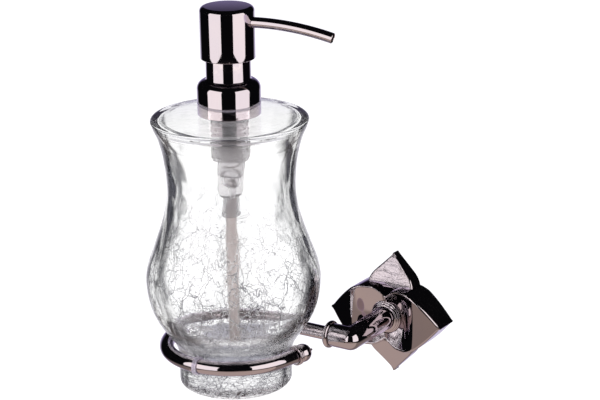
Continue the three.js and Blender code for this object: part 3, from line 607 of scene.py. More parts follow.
def raised_edge(x):
    """Half height of the raised pair of petals in the wall plane."""
    reach = abs(x)
    rounding = NOTCH_ROUNDING * max(1 - abs(reach - NOTCH) / NOTCH_BLEND, 0) ** 2
    if reach > NOTCH:
        bulge = LOBE_BULGE * sin(pi * (reach - NOTCH) / NOTCH)
        return max(HALF_DIAGONAL - reach + bulge - rounding, TIP_FLAT)
    return NOTCH - CREST_DIP * max(1 - reach / CREST_DIP_REACH, 0) ** 1.5 - rounding


def raised_height(x, z):
    """How far the raised pair stands off the wall."""
    reach = abs(x) / NOTCH
    if reach > 1:
        crest = mix(RAISED_NOTCH, RAISED_CORNER, min(reach - 1, 1) ** LOBE_CURL)
    else:
        crest = mix(RAISED_CREST, RAISED_NOTCH, ease(reach, 0, 1))
    middle = mix(RAISED_CENTRE, crest, ease(reach, 0.55, 1.15))
    return mix(middle, crest, min(abs(z) / raised_edge(x), 1) ** 1.7)


def low_half_width(z):
    """Half width of an upper or lower petal."""
    turn = HALF_DIAGONAL - LOW_HALF_WIDTH
    share = max(0.0, min(1.0, (z - turn + LOW_BLEND) / (2 * LOW_BLEND)))
    if z > turn + LOW_BLEND:
        return max(HALF_DIAGONAL - z, TIP_FLAT)
    return LOW_HALF_WIDTH - LOW_BLEND * share * share


def low_height(x, z):
    """How far an upper or lower petal stands off the wall."""
    down = ease(HALF_DIAGONAL - z, 0, NOTCH + 2)
    across = min(abs(x) / low_half_width(z), 1)
    edge = mix(LOW_CORNER, LOW_NOTCH, down)
    spine = mix(LOW_CORNER, LOW_BASE, down)
    return mix(spine, edge, across * across)


def edge_spread(steps, half, rounding):
    """Shares from -1 to 1 that crowd into the rounded edge of a petal."""
    inner = (half - rounding) / half
    flat = [inner * (2 * step / steps - 1) for step in range(steps + 1)]
    bend = [1 - rounding / half * (1 - sin(radians(angle))) for angle in (22, 45, 67, 90)]
    return [-share for share in reversed(bend)] + flat + bend


def edge_drop(distance, rounding):
    """How far a rounded edge falls away at a distance from the outline."""
    if distance >= rounding:
        return 0.0
    return rounding - sqrt(max(rounding ** 2 - (rounding - distance) ** 2, 0.0))


def petal_slab(rows, half_at, height_at, upright):
    """A closed slab on the wall: rows run along the petal, shares run across it."""
    rings = []
    for along in rows:
        half = half_at(along)
        rounding = min(ROSETTE_EDGE, half * 0.6)
        front, back = [], []
        for share in edge_spread(SHARES_ACROSS, half, rounding):
            across = share * half
            x, z = (across, along) if upright else (along, across)
            height = height_at(x, abs(z)) - edge_drop(half - abs(across), rounding)
            front.append((x, -height, z))
            back.append((x, 0, z))
        rings.append(front + back[::-1])
    return finish_mesh("petal", closed_shell(rings, False), ORIGIN, UP, None)


def combine(piece, other, operation):
    """Joins or cuts a piece with another by a Boolean modifier, and applies it."""
    step = piece.modifiers.new(operation, "BOOLEAN")
    step.operation = operation
    step.object = other
    step.solver = "EXACT"
    depsgraph = bpy.context.evaluated_depsgraph_get()
    result = bpy.data.meshes.new_from_object(piece.evaluated_get(depsgraph))
    piece.modifiers.remove(step)
    piece.data = result
    bpy.data.objects.remove(other)


def drill(piece, radius, start, end, place, direction):
    """Cuts a round hole into a piece, from one distance to another along a direction."""
    outline = [(0, start), (radius, start), (radius, end), (0, end)]
    combine(piece, turned("cutter", outline, place, None, direction), "DIFFERENCE")


def build_rosette():
    """Two raised petals across, two low ones above and below, a seat and a recess."""
    rows = [mix(-HALF_DIAGONAL, HALF_DIAGONAL, row / ROSETTE_ROWS) for row in range(ROSETTE_ROWS + 1)]
    rosette = petal_slab(rows, raised_edge, raised_height, False)
    petal_base = NOTCH - CREST_DIP - 3
    for side in (1, -1):
        reach = [side * mix(petal_base, HALF_DIAGONAL, row / PETAL_ROWS) for row in range(PETAL_ROWS + 1)]
        petal = petal_slab(reach, lambda z: low_half_width(abs(z)), low_height, True)
        combine(rosette, petal, "UNION")
    for radius, start, end in ((FLANGE_RADIUS, RAISED_CENTRE, CLEAR_OF_PETALS),
                               (PLATE_RADIUS, -1, PLATE_THICKNESS + GAP)):
        drill(rosette, radius + GAP, start, end, ORIGIN, OUT)
    rosette.name = "rosette_plate"
    dress(rosette.data, DARK_CHROME, 30)
    settle(rosette, "bracket", "dark_chrome", "rosette")


# -------- arm, ring and finial
ARM_RADIUS = 6.15
ARM_START = RAISED_CENTRE + GAP
ARM_REACH = -(arm_low.y + ARM_RADIUS)
SLEEVE_END = -arm_low.x
SLEEVE_EDGE = 0.5
ELBOW_STEPS = 12
SOCKET_BOTTOM = 4.0
FLANGE_THICKNESS = 3.2
FLANGE_BEAD = 1.0
BEAD_RADIUS = 7.3
BEAD_WIDTH = 2.6
ROD_RADIUS = 3.7
ROD_EDGE = 0.4
TAIL_EDGE = 0.3
RING_STEPS = 180
RING_RADIUS = BOTTLE_AXIS.x - ring_low.x - ROD_RADIUS
RING_END_ANGLE = -12.0
ROD_TAIL = 7.6
SPIGOT_RADIUS = 1.5
SPIGOT_LENGTH = 5.6
COLLAR_BEAD_RADIUS = 5.2
COLLAR_BEAD_WIDTH = 2.4
BALL_RADIUS = 4.75
BALL_TIP_RADIUS = 1.1
BALL_TIP_LENGTH = 2.4
CUSHION_ANGLES = (272, 188, 104)
CUSHION_WIDTH = 2.2
CUSHION_THICKNESS = 0.8


def on_ring(bearing):
    """A point on the ring's centre line, at a bearing in degrees from +X towards the wall."""
    angle = radians(bearing)
    return BOTTLE_AXIS + Vector((cos(angle), sin(angle), 0)) * RING_RADIUS


def along_ring(bearing):
    """The direction of the rod at a bearing."""
    angle = radians(bearing)
    return Vector((-sin(angle), cos(angle), 0))


def past_ring(distance):
    """A point on the straight tail past the ring's end."""
    return on_ring(RING_END_ANGLE) + along_ring(RING_END_ANGLE) * distance


def build_flange():
    """A stepped ring of three beads round the foot of the arm."""
    bore = ARM_RADIUS + GAP
    bend = FLANGE_BEAD / 2
    second_radius = FLANGE_RADIUS - FLANGE_BEAD / 2
    outline = [
        (bore, 0.0),
        *arc((FLANGE_RADIUS - bend, bend), bend, -90, 80),
        *arc((second_radius - bend, 3 * bend), bend, -50, 80),
        *arc((second_radius - 1.3 * FLANGE_BEAD, FLANGE_THICKNESS - FLANGE_BEAD), bend, 0, 90),
        (bore + 0.2, FLANGE_THICKNESS - 0.4), (bore, FLANGE_THICKNESS - 0.2),
    ]
    piece = turned("flange_beads", outline, OUT * ARM_START, DARK_CHROME, OUT)
    settle(piece, "bracket", "dark_chrome", "arm_flange")


def rod_ring(centre, outside, radius, inside=None):
    """A rod's section: a circle, or at a mitre an outer half and an inner half that leans away."""
    ring = []
    for side in range(SMALL_SIDES * 2):
        angle = pi * side / SMALL_SIDES
        across = radius * cos(angle)
        lean = outside if inside is None or across > 0 else inside
        ring.append(centre + lean * across + UP * radius * sin(angle))
    return ring


def build_arm():
    """The arm, its right-angled elbow with a ball corner, and the bead at its end."""
    corner = OUT * ARM_REACH
    rings = [rod_ring(OUT * reach, RIGHT, ARM_RADIUS)
             for reach in (ARM_START, ARM_REACH - ARM_RADIUS - 1)]
    for step in range(ELBOW_STEPS + 1):
        angle = pi / 2 * step / ELBOW_STEPS
        outside = RIGHT * cos(angle) + OUT * sin(angle)
        rings.append(rod_ring(corner, outside, ARM_RADIUS, RIGHT + OUT))
    sleeve = [(ARM_RADIUS + 1, ARM_RADIUS)]
    sleeve += arc((SLEEVE_END - SLEEVE_EDGE, ARM_RADIUS - SLEEVE_EDGE), SLEEVE_EDGE, 90, 0, 3)
    sleeve += [(SLEEVE_END, ROD_RADIUS + GAP), (SOCKET_BOTTOM, ROD_RADIUS + GAP)]
    for reach, radius in sleeve:
        rings.append(rod_ring(corner - RIGHT * reach, OUT, radius))
    shell = closed_shell(rings, False)
    bmesh.ops.remove_doubles(shell, verts=shell.verts, dist=0.001 * MM)
    arm = finish_mesh("arm_and_elbow", shell, ORIGIN, UP, DARK_CHROME, 35)
    settle(arm, "bracket", "dark_chrome", "elbow_arm")
    half = BEAD_WIDTH / 2
    outline = [(ROD_RADIUS + GAP, 0.0), *arc((BEAD_RADIUS - half, half), half, -90, 90, 12),
               (ROD_RADIUS + GAP, BEAD_WIDTH)]
    place = corner - RIGHT * (SLEEVE_END + GAP)
    bead = turned("elbow_end_bead", outline, place, DARK_CHROME, -RIGHT)
    settle(bead, "bracket", "dark_chrome", "elbow_bead")


def build_ring():
    """One bent rod: a stem in the elbow, the ring round the bottle and a spigot for the finial."""
    left = -RIGHT
    stem_start = OUT * ARM_REACH + left * (SOCKET_BOTTOM + GAP)
    stations = [(stem_start, left, ROD_RADIUS - ROD_EDGE),
                (stem_start + left * ROD_EDGE, left, ROD_RADIUS)]
    for step in range(RING_STEPS + 1):
        bearing = mix(90, 360 + RING_END_ANGLE, step / RING_STEPS)
        stations.append((on_ring(bearing), along_ring(bearing), ROD_RADIUS))
    ahead = along_ring(RING_END_ANGLE)
    for distance, radius in ((ROD_TAIL - TAIL_EDGE, ROD_RADIUS), (ROD_TAIL, ROD_RADIUS - TAIL_EDGE),
                             (ROD_TAIL, SPIGOT_RADIUS), (ROD_TAIL + SPIGOT_LENGTH, SPIGOT_RADIUS)):
        stations.append((past_ring(distance), ahead, radius))
    ring = lofted("ring_rod", stations, DARK_CHROME, place=BOTTLE_AXIS)
    settle(ring, "bracket", "dark_chrome", "holder_ring")


def build_finial():
    """Two beads and a ball with a small tip, on the rod's spigot."""
    ahead = along_ring(RING_END_ANGLE)
    half = COLLAR_BEAD_WIDTH / 4
    bore = SPIGOT_RADIUS + GAP
    outline = [
        (bore, 0.0),
        *arc((COLLAR_BEAD_RADIUS - half, half), half, -90, 75),
        *arc((COLLAR_BEAD_RADIUS - half, 3 * half), half, -75, 90),
        (bore, COLLAR_BEAD_WIDTH),
    ]
    collar = turned("finial_beads", outline, past_ring(ROD_TAIL + GAP), DARK_CHROME, ahead, SMALL_SIDES)
    settle(collar, "bracket", "dark_chrome", "finial_collar")
    face_offset = sqrt(BALL_RADIUS ** 2 - ROD_RADIUS ** 2)
    face_angle = -90 + degrees(asin(ROD_RADIUS / BALL_RADIUS))
    tip_angle = 90 - degrees(asin(BALL_TIP_RADIUS / BALL_RADIUS))
    tip = BALL_RADIUS + BALL_TIP_LENGTH
    bore_end = SPIGOT_LENGTH - COLLAR_BEAD_WIDTH - face_offset + GAP
    outline = [
        (0.0, bore_end), (SPIGOT_RADIUS + GAP, bore_end), (SPIGOT_RADIUS + GAP, -face_offset),
        *arc((0, 0), BALL_RADIUS, face_angle, tip_angle - 2, 28),
        (BALL_TIP_RADIUS, BALL_RADIUS + 0.1), (BALL_TIP_RADIUS * 0.82, BALL_RADIUS + 0.7),
        *arc((0, tip - 0.55), 0.55, 10, 90, 5)[:-1], (0.0, tip),
    ]
    centre = ROD_TAIL + GAP + COLLAR_BEAD_WIDTH + GAP + face_offset
    ball = turned("finial_knob", outline, past_ring(centre), DARK_CHROME, ahead, SMALL_SIDES)
    settle(ball, "bracket", "dark_chrome", "finial_ball")


def build_cushions():
    """Clear bands on the rod, which the bottle rests on."""
    bore = ROD_RADIUS + GAP
    outer = bore + CUSHION_THICKNESS
    half = CUSHION_WIDTH / 2
    outline = filleted([(bore, -half, 0.1), (outer, -half, 0.35), (outer, half, 0.35), (bore, half, 0.1)])
    for index, bearing in enumerate(CUSHION_ANGLES, 1):
        band = turned(f"silicone_band_{index}", outline, on_ring(bearing), SILICONE,
                      along_ring(bearing), SMALL_SIDES)
        settle(band, "bracket", "silicone", f"ring_cushion_{index}")


# -------- bottle
FOOT_RADIUS = 29.0
FOOT_EDGE = 2.8
FOOT_HEIGHT = 17.0
OUTER_PROFILE = [
    (FOOT_RADIUS, FOOT_HEIGHT), (31.6, 24.0), (38.0, 33.2), (42.4, 42.0), (44.6, 53.5), (44.0, 63.0),
    (40.2, 74.2), (36.0, 86.2), (33.5, 96.5), (32.6, 107.5), (33.9, 121.5), (36.4, 131.5), (39.0, 137.8),
    (39.9, 140.6),
]
RIM_RADIUS = 39.9
RIM_HEIGHT = 140.6
RIM_EDGE = 1.3
GLASS_WALL = 3.4
GLASS_BASE = 17.0
MOUTH_RADIUS = 10.4
MOUTH_THICKNESS = 3.6
CAVITY_EDGE = 2.2              # rounding inside, under the rim
CAVITY_DROP = 0.8              # cavity's ceiling, from mouth to rim
BOTTLE_SIDES = 192
OUTSIDE_STEPS = 130
CAVITY_STEPS = 140
FOOT_STEPS = 12
SHOULDER_STEPS = 24
SWELL_INSIDE = 0.42            # how far the blown wall wavers
SWELL_OUTSIDE = 0.10
SWELLS_AROUND = 1.9            # more puts them closer together
SWELL_LENGTH = 26              # up the wall
SWELL_FADE = 8                 # out from the mouth, which is round


def blown_waver(angle, radius, height):
    """The uneven wall of blown glass: slow swells, stronger on the inside."""
    place = Vector((cos(angle) * SWELLS_AROUND, sin(angle) * SWELLS_AROUND, height / SWELL_LENGTH))
    inside = radius < wall_radius(height) - GLASS_WALL / 2
    depth = SWELL_INSIDE if inside else SWELL_OUTSIDE
    fade = min(1.0, max(0.0, (radius - MOUTH_RADIUS) / SWELL_FADE))
    if height < FOOT_EDGE or radius > RIM_RADIUS - 0.5:
        depth *= 0.3
    seed = Vector((7.3, 2.1, 4.4)) if inside else Vector((1.7, 9.2, 3.3))
    swell = noise.noise(place + seed) + 0.45 * noise.noise(place * 2.7 + seed)
    return depth * fade * swell


def wall_radius(height):
    """The outside radius of the bottle at a height above its foot."""
    if height <= FOOT_HEIGHT:
        return FOOT_RADIUS
    for (low_radius, low), (high_radius, high) in zip(OUTER_PROFILE, OUTER_PROFILE[1:]):
        if low <= height <= high:
            return mix(low_radius, high_radius, (height - low) / (high - low))
    return RIM_RADIUS


def build_bottle():
    """One blown outline: foot, bulb, waist, rim and shoulder, then back down inside the cavity."""
    underside = TOP_OF_GLASS - MOUTH_THICKNESS
    body = smooth(OUTER_PROFILE, OUTSIDE_STEPS)
    ceiling = underside - CAVITY_DROP
    cavity_edge = (RIM_RADIUS - GLASS_WALL - CAVITY_DROP - CAVITY_EDGE, ceiling - CAVITY_EDGE)
    cavity_top = [(MOUTH_RADIUS, underside), *arc(cavity_edge, CAVITY_EDGE, 90, 0)]
    inner_points = []
    for first, last, shift in ((10, 12, -1), (4, 10, 0), (2, 4, 1)):
        inner_points += [(radius - GLASS_WALL, height + shift)
                         for radius, height in reversed(OUTER_PROFILE[first:last])]
    inner_points += [(FOOT_RADIUS - 2.2 * GLASS_WALL, GLASS_BASE + 3.5),
                     (FOOT_RADIUS / 2, GLASS_BASE + 0.6), (0.0, GLASS_BASE)]
    outline = [
        (0.0, 0.9), (FOOT_RADIUS * 0.55, 0.75), (FOOT_RADIUS - FOOT_EDGE - 1.6, 0.15),
        *arc((FOOT_RADIUS - FOOT_EDGE, FOOT_EDGE), FOOT_EDGE, -90, 0, 10),
        *[(FOOT_RADIUS, mix(FOOT_EDGE, FOOT_HEIGHT, step / FOOT_STEPS)) for step in range(1, FOOT_STEPS)],
        *body,
        *arc((RIM_RADIUS - RIM_EDGE, RIM_HEIGHT), RIM_EDGE, 0, 78, 8)[1:],
    ]
    shoulder_start = outline[-1]
    for step in range(1, SHOULDER_STEPS + 1):
        share = step / SHOULDER_STEPS
        outline.append((mix(shoulder_start[0], MOUTH_RADIUS, share),
                        mix(shoulder_start[1], TOP_OF_GLASS, sin(share * pi / 2))))
    outline += [(MOUTH_RADIUS, TOP_OF_GLASS - 1.2), (MOUTH_RADIUS, underside + 1.2), *cavity_top]
    outline += smooth(inner_points, CAVITY_STEPS)
    outline[-1] = (0.0, GLASS_BASE)
    bottle = turned("glass_vase", outline, BOTTLE_PLACE, CRACKLE_GLASS, UP, BOTTLE_SIDES,
                    blown_waver, 60)
    settle(bottle, "bottle", "crackle_glass", "glass_bottle")


INSERT_BOTTOM = above_foot(insert_low.z)
INSERT_TOP = above_foot(insert_high.z)
INSERT_RIB = 0.7
INSERT_RIBS = 9
INSERT_BORE = 7.5
INSERT_FLANGE_RADIUS = 12.8
INSERT_FLANGE = 1.4
THREAD_RADIUS = 12.2
THREAD_DEPTH = 0.8
THREAD_TURNS = 2.5
THREAD_STEPS = 150
THREAD_RUN_OUT = 14            # 1 / 14 of the thread's length fades out at each end


def build_insert():
    """The ribbed plug in the mouth, its flange on the glass and the threaded neck above."""
    spigot = MOUTH_RADIUS - GAP
    waist = spigot - INSERT_RIB - 0.5
    underside = TOP_OF_GLASS - MOUTH_THICKNESS
    pitch = (TOP_OF_GLASS - INSERT_BOTTOM - MOUTH_THICKNESS - 3) / INSERT_RIBS
    outline = [(INSERT_BORE, INSERT_BOTTOM + 0.4), (INSERT_BORE + 0.4, INSERT_BOTTOM)]
    for rib in range(INSERT_RIBS):
        low = INSERT_BOTTOM + 0.3 + rib * pitch
        outline += [(waist, low), (waist + INSERT_RIB * 0.9, low + pitch * 0.45),
                    (waist + INSERT_RIB, low + pitch * 0.6), (waist, low + pitch * 0.9)]
    flange_low = TOP_OF_GLASS + GAP
    flange_high = flange_low + INSERT_FLANGE
    root = THREAD_RADIUS - THREAD_DEPTH
    outline += [
        (waist, underside - 1), (spigot, underside + 0.5), (spigot, flange_low),
        (INSERT_FLANGE_RADIUS - 0.2, flange_low), (INSERT_FLANGE_RADIUS, flange_low + 0.2),
        (INSERT_FLANGE_RADIUS, flange_high - 0.3), (INSERT_FLANGE_RADIUS - 0.3, flange_high),
        (root + 0.2, flange_high), (root, flange_high + 0.2), (root, INSERT_TOP - 0.4),
        (root - 0.4, INSERT_TOP), (INSERT_BORE + 0.3, INSERT_TOP), (INSERT_BORE, INSERT_TOP - 0.3),
    ]
    insert = turned("ribbed_insert", outline, BOTTLE_PLACE, CLEAR_PLASTIC, sharp=25)
    settle(insert, "bottle", "clear_plastic", "neck_insert")
    build_thread(root, flange_high + 1.3, INSERT_TOP - 1.2)


def build_thread(root, low, high):
    """A rounded screw thread with run-out ends."""
    rings = []
    for step in range(THREAD_STEPS + 1):
        share = step / THREAD_STEPS
        angle = 2 * pi * THREAD_TURNS * share
        depth = THREAD_DEPTH * min(1.0, share * THREAD_RUN_OUT, (1 - share) * THREAD_RUN_OUT)
        section = [(-0.1, -0.9), (depth * 0.75, -0.42), (depth, -0.15), (depth, 0.15),
                   (depth * 0.75, 0.42), (-0.1, 0.9)]
        rings.append([((root + out) * cos(angle), (root + out) * sin(angle), mix(low, high, share) + along)
                      for out, along in section])
    piece = finish_mesh("insert_thread", closed_shell(rings, False), BOTTLE_PLACE, UP, CLEAR_PLASTIC)
    settle(piece, "bottle", "clear_plastic")


# -------- pump
CYLINDER_TOP = above_foot(cylinder_high.z)
SOCKET_FOOT = above_foot(cylinder_low.z)
CYLINDER_FLANGE = 1.8
CYLINDER_SEAT = CYLINDER_TOP - CYLINDER_FLANGE
CYLINDER_RADIUS = 6.8
CYLINDER_BORE = 5.5
CYLINDER_FLANGE_RADIUS = 11.2
TAPER_TOP = CYLINDER_SEAT - 52.0
SOCKET_TOP = TAPER_TOP - 4.0
SOCKET_RADIUS = 4.3
BALL_ROOM = 3.2
VALVE_BORE = 1.5
DIP_RADIUS = 3.0
DIP_BORE = 2.1
SPRING_RADIUS = 4.0
SPRING_WIRE = 0.5
SPRING_TURNS = 8
STEPS_PER_TURN = 28


def build_pump():
    """The barrel with its valve seat and socket, the dip tube in the socket, and the spring."""
    ledge = above_foot(spring_low.z) - GAP
    outline = [
        (CYLINDER_BORE, CYLINDER_TOP), (CYLINDER_BORE, ledge), (BALL_ROOM, ledge),
        (BALL_ROOM, TAPER_TOP + 2.2), (VALVE_BORE, TAPER_TOP + 1), (VALVE_BORE, SOCKET_TOP),
        (DIP_RADIUS + GAP, SOCKET_TOP), (DIP_RADIUS + GAP, SOCKET_FOOT),
        (SOCKET_RADIUS + 0.2, SOCKET_FOOT), (SOCKET_RADIUS + 0.4, SOCKET_FOOT + 0.3),
        (SOCKET_RADIUS + 0.4, SOCKET_FOOT + 1.4), (SOCKET_RADIUS, SOCKET_FOOT + 2),
        (SOCKET_RADIUS, SOCKET_TOP - 0.4),
        (SOCKET_RADIUS + 0.3, SOCKET_TOP), (CYLINDER_RADIUS - 1.2, SOCKET_TOP + 0.6),
        (CYLINDER_RADIUS - 0.5, TAPER_TOP - 1), (CYLINDER_RADIUS - 0.3, TAPER_TOP),
        (CYLINDER_RADIUS, TAPER_TOP + 10), (CYLINDER_RADIUS, CYLINDER_SEAT),
        (CYLINDER_FLANGE_RADIUS, CYLINDER_SEAT), (CYLINDER_FLANGE_RADIUS, CYLINDER_TOP),
    ]
    cylinder = turned("pump_barrel", outline, BOTTLE_PLACE, CLEAR_PLASTIC, sharp=25)
    settle(cylinder, "pump", "clear_plastic", "pump_cylinder")
    low, high = above_foot(dip_low.z), above_foot(dip_high.z)
    edge = 0.2
    outline = [(DIP_BORE, low + edge), (DIP_BORE + edge, low), (DIP_RADIUS - edge, low),
               (DIP_RADIUS, low + edge), (DIP_RADIUS, high), (DIP_BORE, high)]
    tube = turned("suction_tube", outline, BOTTLE_PLACE, TUBE_PLASTIC, UP, SMALL_SIDES)
    settle(tube, "pump", "clear_plastic", "dip_tube")
    build_spring()


def build_spring():
    """The return spring, with closed ends."""
    low = above_foot(spring_low.z) + SPRING_WIRE
    high = above_foot(spring_high.z) - SPRING_WIRE
    stations = []
    steps = SPRING_TURNS * STEPS_PER_TURN
    for step in range(steps + 1):
        share = step / steps
        angle = 2 * pi * SPRING_TURNS * share
        closing = ease(share, 0.0, 0.16) * 0.5 + ease(share, 0.84, 1.0) * 0.5
        rise = mix(low, high, mix(share, closing, 0.12))
        outward = Vector((SPRING_RADIUS * cos(angle), SPRING_RADIUS * sin(angle), rise))
        direction = Vector((-sin(angle), cos(angle), (high - low) / steps))
        stations.append((BOTTLE_PLACE + outward, direction, SPRING_WIRE))
    spring = lofted("coil_spring", stations, STAINLESS, sides=12, place=BOTTLE_PLACE)
    settle(spring, "pump", "steel", "return_spring")
    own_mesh(spring)


# -------- closure, head and spout
COLLAR_BOTTOM = above_foot(closure_low.z)
COLLAR_HEIGHT = 17.5
COLLAR_TOP = COLLAR_BOTTOM + COLLAR_HEIGHT
COLLAR_RADIUS = 16.0
COLLAR_EDGE = 4.4
SHELL_WALL = 1.0
NECK_RADIUS = 11.25
NECK_TOP = above_foot(closure_high.z)
NECK_FILLET = 1.2
HEAD_BOTTOM = above_foot(head_low.z)
HEAD_TOP = above_foot(head_high.z)
HEAD_RADIUS = 13.7
HEAD_EDGE = 2.4
SPOUT_ANGLE = 12.5
SPOUT_RADIUS = 2.7
SPOUT_BORE = 2.2
SPOUT_START = 5.0
SPOUT_STRAIGHT = 17.0
SPOUT_REACH = 55.4
SPOUT_DROP = 5.2
SPOUT_STEPS = 40
SPOUT_HEIGHT = HEAD_TOP - 7.4


def build_closure():
    """The metal collar with a round shoulder, and the narrow neck up into the head."""
    inner = NECK_RADIUS - SHELL_WALL
    lip = 0.35
    shoulder = (COLLAR_RADIUS - COLLAR_EDGE, COLLAR_TOP - COLLAR_EDGE)
    outline = [
        (COLLAR_RADIUS - SHELL_WALL, COLLAR_BOTTOM),
        *arc((COLLAR_RADIUS - lip, COLLAR_BOTTOM + lip), lip, -90, 0, 5),
        *arc(shoulder, COLLAR_EDGE, 0, 84, 16),
        *arc((NECK_RADIUS + NECK_FILLET, COLLAR_TOP + NECK_FILLET), NECK_FILLET, -90, -180, 8),
        (NECK_RADIUS, NECK_TOP), (inner, NECK_TOP), (inner, COLLAR_TOP - SHELL_WALL),
        *arc(shoulder, COLLAR_EDGE - SHELL_WALL, 84, 0, 10),
    ]
    shell = turned("closure_cover", outline, BOTTLE_PLACE, DARK_CHROME)
    settle(shell, "closure", "dark_chrome", "closure_shell")


def build_head():
    """The metal cap that is pressed, with a hole for the spout."""
    lip = 0.3
    edge_centre = (HEAD_RADIUS - HEAD_EDGE, HEAD_TOP - HEAD_EDGE)
    outline = [
        (0.0, HEAD_TOP - SHELL_WALL),
        *arc(edge_centre, HEAD_EDGE - SHELL_WALL, 90, 0),
        (HEAD_RADIUS - SHELL_WALL, HEAD_BOTTOM),
        *arc((HEAD_RADIUS - lip, HEAD_BOTTOM + lip), lip, -90, 0, 5),
        *arc(edge_centre, HEAD_EDGE, 0, 90, 16),
        (0.0, HEAD_TOP),
    ]
    shell = turned("head_cover", outline, BOTTLE_PLACE, DARK_CHROME)
    drill(shell, SPOUT_RADIUS + GAP / 2, 0, HEAD_RADIUS + 4, on_spout(0), spout_direction())
    dress(shell.data, DARK_CHROME, 35)
    settle(shell, "head", "dark_chrome", "head_shell")


def spout_direction():
    """Where the spout points at rest."""
    angle = radians(SPOUT_ANGLE)
    return Vector((cos(angle), sin(angle), 0))


def on_spout(reach, drop=0.0):
    """A point of the spout's centre line, in the frame."""
    return BOTTLE_PLACE + spout_direction() * reach + UP * (SPOUT_HEIGHT - drop)


def build_spout():
    """A thin pipe, straight out of the head and then drooping, with an open end."""
    outward = spout_direction()
    start, bend = on_spout(SPOUT_START), on_spout(SPOUT_STRAIGHT)
    middle = on_spout(mix(SPOUT_STRAIGHT, SPOUT_REACH, 0.5))
    tip = on_spout(SPOUT_REACH, SPOUT_DROP)
    centres = [(start, outward)]
    for step in range(SPOUT_STEPS + 1):
        share = step / SPOUT_STEPS
        direction = (middle - bend).lerp(tip - middle, share).normalized()
        centres.append((leaning(bend, middle, tip, share), direction))
    last_place, last_direction = centres[-1]
    lip = 0.22
    stations = [(place, direction, SPOUT_RADIUS) for place, direction in centres[:-1]]
    for back, radius in ((lip, SPOUT_RADIUS), (0, SPOUT_RADIUS - lip), (0, SPOUT_BORE + lip),
                         (lip, SPOUT_BORE)):
        stations.append((last_place - last_direction * back, last_direction, radius))
    stations += [(place, direction, SPOUT_BORE) for place, direction in reversed(centres[:-1])]
    spout = lofted("spout_pipe", stations, DARK_CHROME, loops_back=True, place=BOTTLE_PLACE)
    settle(spout, "head", "dark_chrome", "spout_tube")


# -------- inner and hidden pieces
REFINED = [
    ("bracket", "steel", STAINLESS, ("wall_plate", "rosette_grub_screw", "arm_fixing_screw")),
    ("pump", "white_plastic", WHITE_PLASTIC, ("sealing_gasket", "stem_lock_ring")),
    ("valve", "steel", STAINLESS, ("check_ball",)),
    ("closure", "white_plastic", WHITE_PLASTIC, ("closure_nut",)),
    ("plunger", "white_plastic", WHITE_PLASTIC, ("piston_seal", "plunger_stem")),
    ("head", "white_plastic", WHITE_PLASTIC, ("actuator_core",)),
]


def build_inner_pieces():
    """The small pieces that hardly show, with the CAD's own shapes and softened edges."""
    for body, slot, finish, nodes in REFINED:
        for node in nodes:
            settle(refined(node, finish), body, slot, node)


# -------- studio
CAMERA_AZIMUTH = 32.985        # degrees, from a view along +Y towards a view along -X
CAMERA_PITCH = 18.163
CAMERA_ROLL = -0.897
CAMERA_PLACE = Vector((0.5628, -0.9622, 0.4279))
CAMERA_LENS = 133.2
SENSOR_WIDTH = 36.0
FLOOR_DEPTH = 0.62             # below the wall bracket's centre
FLOOR_SIZE = 60.0
SOFTBOX_SPREAD = 52.5          # degrees to each side of the camera
SOFTBOX_DISTANCE = 0.95
SOFTBOX_WIDTH = 0.98
SOFTBOX_HEIGHT = 1.08
SOFTBOX_CENTRE = 0.30          # above the ring's plane
SOFTBOX_POWER = 5.5
SOFTBOX_COLOUR = (1.0, 0.955, 0.97)
TABLE_AHEAD = 0.40             # from the bottle towards the camera
TABLE_DEPTH = 0.25
TABLE_SIZE = 0.8
TABLE_POWER = 0.75
TABLE_COLOUR = (1.0, 0.80, 0.72)
ROOM_WHITE = (1.2, 1.2, 1.2, 1)          # seen straight or through the glass
ROOM_CEILING = (0.75, 0.74, 0.78, 1)
ROOM_BELOW = (0.44, 0.44, 0.51, 1)
MIRROR_DARK = (0.004, 0.004, 0.005, 1)   # seen in the polished metal
MIRROR_TABLE = (0.32, 0.265, 0.24, 1)
MIRROR_SWEEP = (0.85, 0.83, 0.90, 1)
MIRROR_BACKDROP = (0.38, 0.34, 0.52, 1)


def around(azimuth, elevation=0.0):
    """The unit vector from the object towards a viewpoint."""
    turn, rise = radians(azimuth), radians(elevation)
    return Vector((sin(turn) * cos(rise), -cos(turn) * cos(rise), sin(rise)))


def build_camera():
    """A long lens, looking slightly down from the right of the bracket."""
    forward = -around(CAMERA_AZIMUTH, CAMERA_PITCH)
    level = forward.cross(UP).normalized()
    upright = level.cross(forward)
    roll = radians(CAMERA_ROLL)
    right = level * cos(roll) + upright * sin(roll)
    up = right.cross(forward)
    camera = bpy.data.objects.new("Camera", bpy.data.cameras.new("Camera"))
    camera.data.lens = CAMERA_LENS
    camera.data.sensor_width = SENSOR_WIDTH
    camera.data.clip_start = 0.05
    camera.data.clip_end = 100.0
    rows = (right, up, -forward)
    camera.matrix_world = Matrix.Translation(CAMERA_PLACE) @ Matrix(rows).transposed().to_4x4()
    bpy.context.scene.collection.objects.link(camera)
    bpy.context.scene.camera = camera


def build_light(name, place, target, width, height, power, colour):
    lamp = bpy.data.lights.new(name, "AREA")
    lamp.shape = "RECTANGLE"
    lamp.size = width
    lamp.size_y = height
    lamp.energy = power
    lamp.color = colour
    light = bpy.data.objects.new(name, lamp)
    light.location = place
    light.rotation_mode = "QUATERNION"
    light.rotation_quaternion = (target - place).to_track_quat("-Z", "Y")
    light.visible_camera = False
    bpy.context.scene.collection.objects.link(light)
    return light


